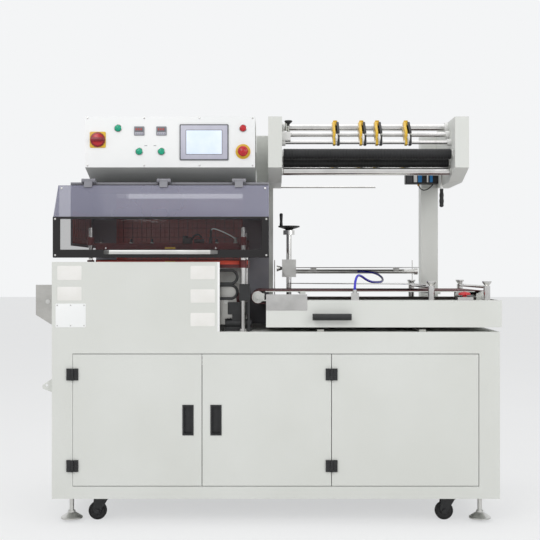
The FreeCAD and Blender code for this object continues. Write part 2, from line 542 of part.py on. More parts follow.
def guard():
    """The fixed canopy behind the hood, its end plates and the red guard panels of the chamber."""
    top = (f"{hood_top} - dim.canopy_thick", hood_top)
    end = f"({left} + dim.chamber_width)"
    rear = (behind("dim.seal_depth - dim.sheet - dim.guard_post"), behind("dim.seal_depth - dim.sheet"))
    canopy = block("canopy", (f"{left} + dim.end_plate_inset", end), (behind("dim.slant_run + 6"), rear[1]), top)
    stile_one = block("stile_one", (f"{left} + dim.stile_left", f"{left} + dim.stile_left + dim.stile_width"), rear,
                      (deck, top[0]))
    stile_two = block("stile_two", (f"{end} - dim.stile_width - 24", end), rear, (deck, top[0]))
    low = f"({deck} + dim.end_plate_above)"
    plate_y = (behind("dim.slant_run + 6"), rear[1])
    inset = f"({left} + dim.end_plate_inset)"
    left_plate = block("left_end_plate", (inset, f"{inset} + dim.sheet"), plate_y, (low, top[0]))
    window = block("left_window", (f"{inset} - 1", f"{inset} + dim.sheet + 1"),
                   (behind("dim.slant_run + 36"), behind("dim.seal_depth - 66")), (f"{low} + 16", f"{low} + 125"))
    left_tie = block("left_tie", (inset, f"{left} + dim.stile_left + 1"), rear, (low, top[0]))
    right_plate = block("right_end_plate", (f"{end} - dim.sheet", end), plate_y, (low, top[0]))
    pins = []
    for index in range(3):
        x = hood_hinge(index)
        half = "(dim.hood_lug / 2)"
        for tag, a, b in (("a", f"{x} - {half} - 10", f"{x} - {half} - dim.end_gap"),
                          ("b", f"{x} + {half} + dim.end_gap", f"{x} + {half} + 10")):
            pins.append(rod(f"canopy_lug_{index}{tag}", "X", (a, hood_axis_y, hood_axis_z), f"{b} - ({a})", 8))
            pins.append(block(f"canopy_lug_web_{index}{tag}", (a, b), (hood_axis_y, behind("dim.slant_run + 26")),
                              (hood_top, f"{hood_axis_z} + 3")))
            pins.append(block(f"canopy_lug_heel_{index}{tag}", (a, b), (hood_axis_y, behind("dim.slant_run + 8")),
                              (f"{hood_axis_z} - 8", f"{hood_axis_z}")))
        pins.append(rod(f"hood_pin_{index}", "X", (f"{x} - {half} - 10", hood_axis_y, hood_axis_z),
                        f"2 * {half} + 20", "dim.hood_pin"))
    frame = fuse("guard_weldment", canopy, stile_one, stile_two, cut("left_end", left_plate, window), left_tie,
                 right_plate, *pins)
    node("chamber_guard", frame)
    mesh_y = behind("dim.guard_setback")
    span = (f"{left} + dim.stile_left + dim.stile_width", f"{end} - dim.stile_width - 24")
    panel = block("mesh_panel", span, (mesh_y, f"{mesh_y} + dim.mesh_sheet"), (f"{seal_top} + 1", f"{top[0]} - 20"))
    exit_panel = block("exit_panel", (f"{inset} + dim.sheet", f"{inset} + dim.sheet + dim.mesh_sheet"),
                       (behind("dim.slant_run + 30"), behind("dim.seal_depth - 60")), (f"{low} + 10", f"{low} + 131"))
    wires = []
    for index in range(13):
        x = f"{span[0]} + ({index} + 0.5) * dim.mesh_pitch"
        wires.append(block(f"wire_up_{index}", (x, f"{x} + dim.mesh_bar"), (f"{mesh_y} - dim.mesh_bar", mesh_y),
                           (f"{seal_top} + 1", f"{top[0]} - 20")))
    for index in range(7):
        z = f"{seal_top} + ({index} + 0.5) * dim.mesh_pitch"
        wires.append(block(f"wire_across_{index}", span, (f"{mesh_y} - dim.mesh_bar", mesh_y), (z, f"{z} + dim.mesh_bar")))
    node("guard_mesh", fuse("mesh", panel, *wires), exit_panel)


def hood_hinge(index):
    return f"({hood_left} + 110 + {index} * (dim.hood_width - 220) / 2)"


def hood():
    face_back = behind("dim.hood_band_thick")
    glaze_back = behind("dim.hood_band_thick + dim.glaze")
    outer = block("hood_border", (hood_left, hood_right), (front, face_back), (hood_low, hood_bend))
    window = block("hood_window", (f"{hood_left} + dim.hood_side_band", f"{hood_right} - dim.hood_side_band"),
                   (f"{front} - 1", f"{face_back} + 1"),
                   (f"{hood_low} + dim.hood_low_band", f"{hood_bend} - dim.hood_top_band"))
    border = cut("hood_border_open", outer, window)
    end_y, end_z = behind("dim.slant_run - 10"), f"({hood_top} - 12)"
    sheet = profile("hood_sheet", "YZ", [
        (face_back, hood_low), (face_back, hood_bend), (end_y, end_z),
        (f"{end_y} + dim.glaze * 0.8", f"{end_z} - dim.glaze * 0.6"), (glaze_back, f"{hood_bend} - 2"),
        (glaze_back, hood_low)], "dim.hood_width", hood_left)
    cheeks = []
    for tag, x in (("left", hood_left), ("right", f"{hood_right} - dim.glaze")):
        cheeks.append(profile(f"hood_cheek_{tag}", "YZ", [
            (face_back, hood_low), (face_back, hood_bend), (end_y, end_z), (end_y, f"{hood_bend} - 60"),
            (behind(44), hood_low)], "dim.glaze", x))
    lugs = []
    for index in range(3):
        start = f"{hood_hinge(index)} - dim.hood_lug / 2"
        body = rod(f"hood_lug_{index}", "X", (start, hood_axis_y, hood_axis_z), "dim.hood_lug", 8)
        web = profile(f"hood_lug_web_{index}", "YZ", [
            (end_y, f"{end_z} - 2"), (f"{end_y} - 9", f"{end_z} - 9"), (f"{hood_axis_y} - 7", f"{hood_axis_z} + 3"),
            (f"{hood_axis_y} + 1", f"{hood_axis_z} - 5")], "dim.hood_lug", start)
        lugs += [body, web]
    bores = [rod(f"hood_bore_{index}", "X", (f"{hood_hinge(index)} - dim.hood_lug", hood_axis_y, hood_axis_z),
                 "2 * dim.hood_lug", "dim.hood_pin + dim.run_gap") for index in range(3)]
    node("hood_glazing", cut("hood_glazed", fuse("hood_shell", sheet, *cheeks, *lugs), *bores))
    centre = f"(({hood_left} + {hood_right}) / 2)"
    a, b = f"{centre} - dim.grip_length / 2", f"{centre} + dim.grip_length / 2"
    tip, inner = f"{front} - dim.grip_reach", f"{front} - dim.grip_reach + dim.grip_thick"
    grip = profile("grip", "XY", [
        (a, front), (f"{a} + 24", tip), (f"{b} - 24", tip), (b, front), (f"{b} - 14", front),
        (f"{b} - 32", inner), (f"{a} + 32", inner), (f"{a} + 14", front)], "dim.grip_height", f"{hood_low} + 12")
    node("hood_frame", border, grip)


guide_columns = {
    "left": (f"({left} + dim.column_left)", behind("dim.jaw_setback + dim.jaw_width / 2")),
    "corner": (f"({left} + dim.jaw_cross)", behind("dim.column_front")),
    "rear": (f"({left} + dim.jaw_cross)", behind("dim.column_rear - dim.boss_radius")),
}


def jaws():
    """Two L-shaped jaws on three guide columns: the front bar seals, the cross bar seals and cuts."""
    columns = []
    for tag, (x, y) in guide_columns.items():
        post = rod(f"guide_{tag}", "Z", (x, y, deck), "dim.column_height", "dim.column_radius")
        foot = rod(f"guide_foot_{tag}", "Z", (x, y, deck), "dim.column_foot_thick", "dim.column_foot")
        columns.append(fuse(f"guide_column_{tag}", post, foot))
    node("jaw_columns", *columns)
    upper = f"({deck} + dim.upper_jaw_above)"
    node("upper_jaw", jaw("upper", upper, f"{upper} + dim.upper_jaw_height", f"{upper} + dim.upper_jaw_height", 1))
    lower = f"({deck} + dim.lower_jaw_above)"
    node("lower_jaw", jaw("lower", lower, f"{lower} + dim.lower_jaw_height", lower, -1))


def jaw(tag, low, high, carrier_low, up):
    bar_left, bar_right = f"({left} + dim.jaw_left)", f"({left} + dim.jaw_left + dim.jaw_length)"
    bar_y = (behind("dim.jaw_setback"), behind("dim.jaw_setback + dim.jaw_width"))
    cross = f"({left} + dim.jaw_cross)"
    half = "dim.jaw_width / 2"
    pieces = [block(f"{tag}_bar", (bar_left, bar_right), bar_y, (low, high)),
              block(f"{tag}_cross", (f"{cross} - {half}", f"{cross} + {half}"), (bar_y[0], behind("dim.jaw_cross_back")),
                    (low, high))]
    if up > 0:
        tape_low, tape_high = f"{low} - dim.jaw_tape", low
        boss_low = carrier_low
    else:
        tape_low, tape_high = high, f"{high} + dim.jaw_tape"
        boss_low = low
    inset = "dim.jaw_width / 3"
    pieces.append(block(f"{tag}_tape", (bar_left, bar_right), (f"{bar_y[0]} + {inset}", f"{bar_y[1]} - {inset}"),
                        (tape_low, tape_high)))
    pieces.append(block(f"{tag}_cross_tape", (f"{cross} - dim.jaw_width / 6", f"{cross} + dim.jaw_width / 6"),
                        (bar_y[1], behind("dim.jaw_cross_back")), (tape_low, tape_high)))
    height = "dim.boss_height" if up > 0 else "dim.lower_jaw_height"
    bores = []
    for name, (x, y) in guide_columns.items():
        pieces.append(rod(f"{tag}_boss_{name}", "Z", (x, y, boss_low), height, "dim.boss_radius"))
        bores.append(rod(f"{tag}_boss_bore_{name}", "Z", (x, y, f"{low} - 20"), f"{height} + 60",
                         "dim.column_radius + dim.run_gap"))
    left_x, left_y = guide_columns["left"]
    lug_high = f"{boss_low} + dim.carrier_thick"
    pieces.append(block(f"{tag}_lug_left", (left_x, f"{bar_left} + 20"),
                        (f"{left_y} - dim.boss_radius + 1", f"{left_y} + dim.boss_radius - 1"), (boss_low, lug_high)))
    corner_x, corner_y = guide_columns["corner"]
    pieces.append(block(f"{tag}_lug_corner", (f"{corner_x} - dim.boss_radius + 1", f"{corner_x} + dim.boss_radius - 1"),
                        (corner_y, bar_y[0] if up < 0 else bar_y[1]), (boss_low, lug_high)))
    rear_x, rear_y = guide_columns["rear"]
    pieces.append(block(f"{tag}_lug_rear", (f"{rear_x} - dim.boss_radius + 1", f"{rear_x} + dim.boss_radius - 1"),
                        (behind("dim.jaw_cross_back - 20"), rear_y), (boss_low, lug_high)))
    if up > 0:
        pieces.append(block("upper_carrier", (f"{bar_left} - 2", bar_right),
                            (f"{bar_y[0]} + 6", f"{bar_y[1]} - 6"), (high, f"{high} + dim.carrier_thick")))
    return cut(f"{tag}_jaw_body", fuse(f"{tag}_jaw_solid", *pieces), *bores)


# ---- conveyors ----
belt_z = f"({deck} + dim.belt_top)"
belt_front, belt_back = behind("dim.belt_front"), behind("dim.belt_back")


def belt(name, x_one, x_two, axis_z, radius):
    """An endless belt round two rollers, clear of them by the slack."""
    inner, outer = f"({radius} + dim.belt_slack)", f"({radius} + dim.belt_slack + dim.belt_thick)"
    solids = []
    for tag, r, y0, y1 in (("outer", outer, belt_front, belt_back),
                           ("inner", inner, f"{belt_front} - 1", f"{belt_back} + 1")):
        length = f"({y1}) - ({y0})"
        solids.append(fuse(f"{name}_{tag}", block(f"{name}_{tag}_run", (x_one, x_two), (y0, y1),
                                                  (f"{axis_z} - {r}", f"{axis_z} + {r}")),
                           rod(f"{name}_{tag}_one", "Y", (x_one, y0, axis_z), length, r),
                           rod(f"{name}_{tag}_two", "Y", (x_two, y0, axis_z), length, r)))
    return cut(name, solids[0], solids[1])


def conveyor_roller(label, x, axis_z, radius):
    """A drum between the belt's edges with a journal at each end."""
    reach = "(2 * dim.bed_plate + 2)"
    drum = "(dim.belt_back - dim.belt_front)"
    node(label, turning(label + "_turned", [
        ("0", "0"), ("dim.journal_radius", "0"), ("dim.journal_radius", reach), (radius, reach),
        (radius, f"{reach} + {drum}"), ("dim.journal_radius", f"{reach} + {drum}"),
        ("dim.journal_radius", f"{drum} + 2 * {reach}"), ("0", f"{drum} + 2 * {reach}")],
        (x, f"{belt_front} - {reach}", axis_z), "Y"))


def outfeed():
    axis_z = f"({belt_z} - dim.outfeed_roller - dim.belt_slack - dim.belt_thick)"
    wrap = "(dim.outfeed_roller + dim.belt_slack + dim.belt_thick)"
    tail = f"({left} - dim.outfeed_reach + dim.outfeed_inset)"
    head = f"({left} + dim.jaw_cross - dim.jaw_width / 2 - 8 - {wrap})"
    end = f"({left} + dim.jaw_cross - dim.jaw_width / 2 - 12)"
    plates = []
    low, high = f"({deck} + dim.bed_low)", f"({belt_z} + dim.bed_rise)"
    for tag, y in (("front", f"{belt_front} - dim.bed_plate"), ("rear", f"{belt_back} + 2 * dim.bed_plate")):
        side = profile(f"bed_side_{tag}", "XZ", [
            (f"{left} - dim.outfeed_reach", f"{low} + 35"), (f"{left} - dim.outfeed_reach", high), (end, high),
            (end, low), (f"{left} - 20", low)], "dim.bed_plate", y)
        bores = [rod(f"bed_bore_{tag}_{index}", "Y", (x, f"{y} - dim.bed_plate - 1", axis_z), "dim.bed_plate + 2",
                     "dim.journal_radius + dim.run_gap") for index, x in enumerate((tail, head))]
        plates.append(cut(f"bed_plate_{tag}", side, *bores))
    slider = block("slider", (f"{tail} + dim.outfeed_roller + 6", f"{head} - dim.outfeed_roller - 6"),
                   (f"{belt_front} - dim.bed_plate", f"{belt_back} + dim.bed_plate"),
                   (f"{belt_z} - dim.belt_thick - dim.bed_gap - dim.bed_sheet", f"{belt_z} - dim.belt_thick - dim.bed_gap"))
    feet = [block(f"bed_foot_{index}", (f"{left} + {at}", f"{left} + {at} + 60"),
                  (f"{belt_front} - 2 * dim.bed_plate", f"{belt_back} + 2 * dim.bed_plate"), (deck, low))
            for index, at in enumerate((90, 520))]
    node("outfeed_bed", fuse("bed", *plates, slider, *feet))
    node("outfeed_belt", belt("outfeed_loop", tail, head, axis_z, "dim.outfeed_roller"))
    conveyor_roller("outfeed_tail_roller", tail, axis_z, "dim.outfeed_roller")
    conveyor_roller("outfeed_head_roller", head, axis_z, "dim.outfeed_roller")


# ---- infeed table ----
tray_x0, tray_x1 = f"({mid} - dim.tray_left)", f"({right} + dim.tray_reach)"
tray_low = f"({deck} + dim.tray_lift)"
tray_top = f"({tray_low} + dim.tray_height)"
infeed_axis = f"({belt_z} - dim.infeed_roller - dim.belt_slack - dim.belt_thick)"
infeed_wrap = "(dim.infeed_roller + dim.belt_slack + dim.belt_thick)"
infeed_tail = f"({mid} - dim.infeed_left + {infeed_wrap})"
infeed_head = f"({mid} + dim.infeed_right - {infeed_wrap})"


def infeed():
    sheet = "dim.sheet"
    rear = behind("dim.tray_back")
    walls = [
        block("tray_floor", (tray_x0, tray_x1), (front, rear), (tray_low, f"{tray_low} + {sheet}")),
        block("tray_front", (tray_x0, tray_x1), (front, f"{front} + {sheet}"), (tray_low, tray_top)),
        block("tray_rear", (tray_x0, tray_x1), (f"{rear} - {sheet}", rear), (tray_low, tray_top)),
        block("tray_end", (f"{tray_x1} - {sheet}", tray_x1), (front, rear), (tray_low, tray_top)),
        block("tray_front_flange", (tray_x0, tray_x1), (front, behind("dim.tray_flange")),
              (f"{tray_top} - {sheet}", tray_top)),
        block("tray_rear_flange", (tray_x0, tray_x1), (f"{rear} - dim.tray_flange / 2", rear),
              (f"{tray_top} - {sheet}", tray_top)),
    ]
    x0, x1 = f"({infeed_tail} - dim.journal_radius - 8)", f"({infeed_head} + dim.journal_radius + 8)"
    ear = f"({infeed_axis} + dim.ear_rise)"
    for tag, y in (("front", f"{belt_front} - dim.bed_plate"), ("rear", f"{belt_back} + 2 * dim.bed_plate")):
        side = profile(f"infeed_side_{tag}", "XZ", [
            (tray_x0, tray_low), (x1, tray_low), (x1, ear), (f"{x1} - dim.ear_length", ear),
            (f"{x1} - dim.ear_length", tray_top), (f"{x0} + dim.ear_length", tray_top),
            (f"{x0} + dim.ear_length", ear), (x0, ear), (x0, f"{infeed_axis} - dim.ear_rise"),
            (tray_x0, f"{infeed_axis} - dim.ear_rise")], "dim.bed_plate", y)
        bores = [rod(f"infeed_bore_{tag}_{index}", "Y", (x, f"{y} - dim.bed_plate - 1", infeed_axis),
                     "dim.bed_plate + 2", "dim.journal_radius + dim.run_gap")
                 for index, x in enumerate((infeed_tail, infeed_head))]
        walls.append(cut(f"infeed_bed_{tag}", side, *bores))
    under = f"{belt_z} - dim.belt_thick - dim.bed_gap"
    walls.append(block("infeed_slider", (f"{infeed_tail} + dim.infeed_roller + 6", f"{infeed_head} - dim.infeed_roller - 6"),
                       (belt_front, belt_back), (f"{under} - {sheet}", under)))
    for index, at in enumerate((0.2, 0.8)):
        x = f"({infeed_tail} + {at} * ({infeed_head} - {infeed_tail}))"
        walls.append(block(f"infeed_tie_{index}", (f"{x} - 10", f"{x} + 10"),
                           (f"{belt_front} - dim.bed_plate", f"{belt_back} + dim.bed_plate"),
                           (f"{under} - {sheet} - 8", f"{under} - {sheet}")))
    for x, rail_tag in ((f"({mid} + dim.slide_one)", "one"), (f"({mid} + dim.slide_two)", "two")):
        for start in ("dim.slide_first", "dim.slide_second"):
            tag = f"{rail_tag}_{start[-5:]}"
            carrier = block(f"slide_{tag}", (f"{x} - dim.slide_width / 2", f"{x} + dim.slide_width / 2"),
                            (behind(start), behind(f"{start} + dim.slide_length")),
                            (f"{deck} + dim.slide_gap", tray_low))
            slot = block(f"slide_slot_{tag}", (f"{x} - dim.rail_width / 2 - dim.slide_gap",
                                               f"{x} + dim.rail_width / 2 + dim.slide_gap"),
                         (behind(f"{start} - 1"), behind(f"{start} + dim.slide_length + 1")),
                         (f"{deck} - 1", f"{deck} + dim.rail_height + dim.slide_gap"))
            walls.append(cut(f"slide_block_{tag}", carrier, slot))
    stop_hole = rod("stop_stem_hole", "Z", stop_at(f"{tray_top} - 10"), 20, "dim.panel_stem + dim.run_gap")
    post_hole = rod("opener_post_hole", "Z", (f"{mid} + dim.opener_x", behind("dim.opener_setback"), f"{tray_top} - 10"),
                    20, "dim.opener_radius")
    node("infeed_tray", cut("tray", fuse("tray_weldment", *walls), stop_hole, post_hole))
    rails = [block(f"rail_{tag}", (f"{mid} + {at} - dim.rail_width / 2", f"{mid} + {at} + dim.rail_width / 2"),
                   (behind("dim.rail_start"), behind("dim.rail_start + dim.rail_length")),
                   (deck, f"{deck} + dim.rail_height")) for tag, at in (("one", "dim.slide_one"), ("two", "dim.slide_two"))]
    node("infeed_slide_rails", *rails)
    node("infeed_belt", belt("infeed_loop", infeed_tail, infeed_head, infeed_axis, "dim.infeed_roller"))
    conveyor_roller("infeed_tail_roller", infeed_head, infeed_axis, "dim.infeed_roller")
    conveyor_roller("infeed_head_roller", infeed_tail, infeed_axis, "dim.infeed_roller")


def stop_at(z):
    return f"{mid} + dim.stop_x", behind("dim.stop_setback"), z


def infeed_fittings():
    """Pull handle, stainless corner plate, clamps with their cross rods, forming plate and stop button."""
    x, y, z = f"({mid} + dim.pull_x)", f"({front} - dim.handle_reach + dim.pull_bar)", f"({tray_low} + dim.pull_above)"
    bar = rod("pull_bar", "X", (f"{x} - dim.pull_length / 2", y, z), "dim.pull_length", "dim.pull_bar")
    posts = [rod(f"pull_post_{side}", "Y", (f"{x} {side} (dim.pull_length / 2 - dim.pull_bar)".replace("m", "m"), y, z),
                 "dim.handle_reach - dim.pull_bar", "dim.pull_bar * 0.9") for side in "+-"]
    node("infeed_pull_handle", fuse("pull_handle", bar, *posts))
    corner = block("corner_plate", (tray_x0, f"{tray_x0} + dim.corner_length"), (f"{front} - dim.corner_thick", front),
                   (f"{tray_top} + dim.corner_rise - dim.corner_height", f"{tray_top} + dim.corner_rise"))
    rod_z = f"({belt_z} + dim.cross_above)"
    pieces = [corner]
    for index, at in enumerate(("dim.clamp_one", "dim.clamp_two")):
        cx = f"({mid} + {at})"
        pieces_one = [rod(f"cross_rod_{index}", "Y", (cx, behind("dim.clamp_front"), rod_z),
                          "dim.clamp_rear - dim.clamp_front", "dim.cross_radius")]
        for tag, cy in (("front", behind("dim.clamp_front")), ("rear", behind("dim.clamp_rear"))):
            pieces_one.append(rod(f"clamp_{index}_{tag}", "Z", (cx, cy, tray_top), "dim.clamp_height", "dim.clamp_radius"))
            pieces_one.append(turning(f"clamp_knob_{index}_{tag}", [
                ("0", "0"), ("dim.clamp_radius * 0.6", "0"), ("dim.knob_radius", "dim.knob_height - 4"),
                ("dim.knob_radius", "dim.knob_height"), ("0", "dim.knob_height")],
                (cx, cy, f"{tray_top} + dim.clamp_height")))
        pieces.append(fuse(f"cross_clamp_{index}", *pieces_one))
    plate_z = f"({rod_z} + dim.cross_radius)"
    x0, x1 = f"({mid} + dim.plate_left)", f"({mid} + dim.plate_right)"
    pieces.append(profile("forming_plate", "XY", [
        (x0, behind("dim.plate_back - 60")), (x0, behind("dim.plate_back")), (x1, behind("dim.plate_back")),
        (x1, behind("dim.plate_front"))], "dim.plate_thick", plate_z))
    wires = []
    for tag, at in (("left", -2), ("right", 566)):
        wires.append(rod(f"film_wire_{tag}", "Z", (f"{mid} + {at}", behind("dim.tray_back - dim.sheet"), tray_top),
                         "dim.wire_height", "dim.wire_radius"))
    base_block = block("stop_base", (f"{mid} + dim.stop_x - dim.stop_base", f"{mid} + dim.stop_x + dim.stop_base"),
                       (f"{front} + 4", behind("dim.tray_flange - 4")), (tray_top, f"{tray_top} + dim.stop_base_height"))
    base_hole = rod("stop_base_hole", "Z", stop_at(f"{tray_top} - 1"), "dim.stop_base_height + 2",
                    "dim.panel_stem + dim.run_gap")
    pieces += [*wires, cut("stop_box", base_block, base_hole)]
    valve = [block("valve_body", (f"{mid} + dim.valve_x - 14", f"{mid} + dim.valve_x + 14"),
                   (behind("dim.valve_setback - 12"), behind("dim.valve_setback + 12")), (tray_top, f"{tray_top} + 26")),
             rod("valve_stud", "Z", (f"{mid} + dim.valve_x", behind("dim.valve_setback"), f"{tray_top} + 26"), 12, 8)]
    pieces.append(fuse("air_valve", *valve))
    node("infeed_fittings", *pieces)
    node("stop_mushroom_infeed", turning("infeed_mushroom", mushroom("dim.stop_cap", 20, "dim.stop_travel + 1.5"),
                                         stop_at(f"{tray_top} + dim.stop_base_height")))


def mushroom(radius, rise, gap):
    """Half outline of a mushroom button: a stem below the face at height 0 and a domed cap above the gap."""
    return [("0", "-dim.stem_depth"), ("dim.panel_stem", "-dim.stem_depth"), ("dim.panel_stem", gap),
            (radius, gap), (radius, f"{gap} + 5"), (f"{radius} * 0.9", f"{rise} - 3"), (f"{radius} * 0.55", f"{rise}"),
            ("0", f"{rise}")]


def opener():
    """The post with its lead screw, hand crank and the lifting carriage with the film opener's arm."""
    x, y = f"({mid} + dim.opener_x)", behind("dim.opener_setback")
    foot = f"({tray_low} + dim.sheet)"
    top = f"({deck} + dim.opener_top)"
    post = rod("opener_tube", "Z", (x, y, foot), f"{top} - {foot}", "dim.opener_radius")
    cap = rod("opener_cap", "Z", (x, y, top), "dim.cap_height", "dim.cap_radius")
    hollow = rod("spindle_bore", "Z", (x, y, f"{top} - 30"), 80, "dim.spindle_radius + dim.run_gap")
    node("opener_post", cut("opener_post_bored", fuse("opener_column", post, cap), hollow))
    seat = f"({top} + dim.cap_height + dim.end_gap)"
    wheel = turning("crank_wheel", [
        ("0", "-28"), ("dim.spindle_radius", "-28"), ("dim.spindle_radius", "0"), ("14", "0"), ("16", "4"),
        ("dim.hand_radius", "dim.hand_height - 5"), ("dim.hand_radius", "dim.hand_height"), ("0", "dim.hand_height")],
        (x, y, seat))
    grip = turning("crank_grip", [
        ("0", "0"), ("dim.crank_radius", "0"), ("dim.crank_radius * 0.8", "dim.crank_height / 3"),
        ("dim.crank_radius", "dim.crank_height * 0.9"), ("dim.crank_radius * 0.7", "dim.crank_height"),
        ("0", "dim.crank_height")], (f"{x} - dim.crank_offset", y, f"{seat} + dim.hand_height"))
    node("handwheel", fuse("crank", wheel, grip))
    low = f"({deck} + dim.carriage_above)"
    body = block("carriage_block", (f"{x} - dim.carriage_width / 2", f"{x} + dim.carriage_width / 2"),
                 (f"{y} - dim.carriage_depth / 2", f"{y} + dim.carriage_depth / 2"), (low, f"{low} + dim.carriage_height"))
    arm_z = f"({deck} + dim.arm_above)"
    side = f"({x} + dim.carriage_width / 2)"
    arm = rod("opener_arm", "X", (side, y, arm_z), "dim.arm_length", "dim.arm_radius")
    sleeve = rod("arm_sleeve", "X", (f"{side} + dim.arm_length - dim.sleeve_length", y, arm_z), "dim.sleeve_length",
                 "dim.sleeve_radius")
    strip = profile("opener_plate", "XY", [
        (side, f"{y} - 70"), (side, y), (f"{side} + dim.strip_length", y),
        (f"{side} + dim.strip_length", behind("dim.strip_front"))], "dim.strip_thick", f"{deck} + dim.strip_above")
    blocks = [block(f"strip_seat_{index}", (f"{side} + {at}", f"{side} + {at} + 24"), (f"{y} - 8", f"{y} + 8"),
                    (arm_z, f"{deck} + dim.strip_above")) for index, at in enumerate((60, 400))]
    knobs = [cone("carriage_knob", "-X", (f"{x} - dim.carriage_width / 2", y, f"{low} + dim.carriage_height / 2"), 22, 6, 14),
             cone("carriage_knob_front", "-Y", (f"{x} - 8", f"{y} - dim.carriage_depth / 2", f"{low} + 18"), 24, 6, 13)]
    nozzle = fuse("air_nozzle", rod("nozzle_body", "X", (f"{mid} + dim.nozzle_x", f"{y} - dim.arm_radius - 10", arm_z), 46, 6),
                  block("nozzle_clip", (f"{mid} + dim.nozzle_x + 6", f"{mid} + dim.nozzle_x + 26"),
                        (f"{y} - dim.arm_radius - 10", y), (f"{arm_z} - 5", f"{arm_z} + 5")))
    bore = rod("carriage_bore", "Z", (x, y, f"{low} - 1"), "dim.carriage_height + 2", "dim.opener_radius + dim.run_gap")
    node("opener_carriage", cut("carriage", fuse("carriage_solid", body, arm, sleeve, strip, *blocks, *knobs, nozzle), bore))


# ---- rear columns and film carriage ----
film_x0 = f"({left} + dim.film_left)"
film_x1 = f"({film_x0} + dim.film_wall)"
film_x2 = f"({film_x1} + dim.film_span)"
film_x3 = f"({film_x2} + dim.film_wall)"
film_y = behind("dim.film_front")
film_back = behind("dim.film_front + dim.film_depth")


def film_outline(depth):
    """Side view of the folded housings: a flat face, an undercut chamfer and a level floor."""
    rear = behind(f"dim.film_front + {depth}")
    low, top = f"({deck} + dim.film_low)", f"({deck} + dim.film_top)"
    return [(film_y, f"{deck} + dim.film_face_low"), (behind("dim.film_front + dim.chamfer_run"), low), (rear, low),
            (rear, top), (film_y, top)]


def columns():
    size = "dim.column_size"
    y = (behind("dim.column_setback"), behind(f"dim.column_setback + {size}"))
    top = f"({deck} + dim.column_top)"
    pieces = []
    for tag, at in (("one", "dim.column_one"), ("two", "dim.column_two"), ("three", "dim.column_third")):
        x = f"({left} + {at})"
        high = f"({deck} + dim.beam_above)" if tag == "three" else top
        pieces.append(block(f"column_{tag}", (x, f"{x} + {size}"), y, (deck, high)))
        grow = "(dim.column_base - dim.column_size) / 2"
        pieces.append(block(f"column_foot_{tag}", (f"{x} - {grow}", f"{x} + {size} + {grow}"),
                            (f"{y[0]} - {grow}", f"{y[1]} + {grow}"), (deck, f"{deck} + dim.column_base_thick")))
    beam_z = f"({deck} + dim.beam_above)"
    pieces.append(block("box_beam", (f"{left} + dim.column_third", f"{left} + dim.column_one + {size}"), y,
                        (beam_z, f"{beam_z} + {size}")))
    for index, at in enumerate((70, 480)):
        x = f"({left} + dim.box_left + {at})"
        pieces.append(block(f"box_arm_{index}", (x, f"{x} + 50"), (behind("dim.film_front + dim.box_depth"), y[0]),
                            (beam_z, f"{beam_z} + 50")))
    node("film_columns", fuse("column_weldment", *pieces))


roller_seats = {
    "rubber_roller_front": ("dim.nip_setback", "dim.nip_above", "dim.nip_radius"),
    "rubber_roller_rear": ("dim.nip_two_setback", "dim.nip_two_above", "dim.nip_radius"),
    "idler_roller_lower": ("dim.chrome_setback", "dim.chrome_above", "dim.chrome_radius"),
    "idler_roller_upper": ("dim.idler_setback", "dim.idler_above", "dim.chrome_radius"),
}


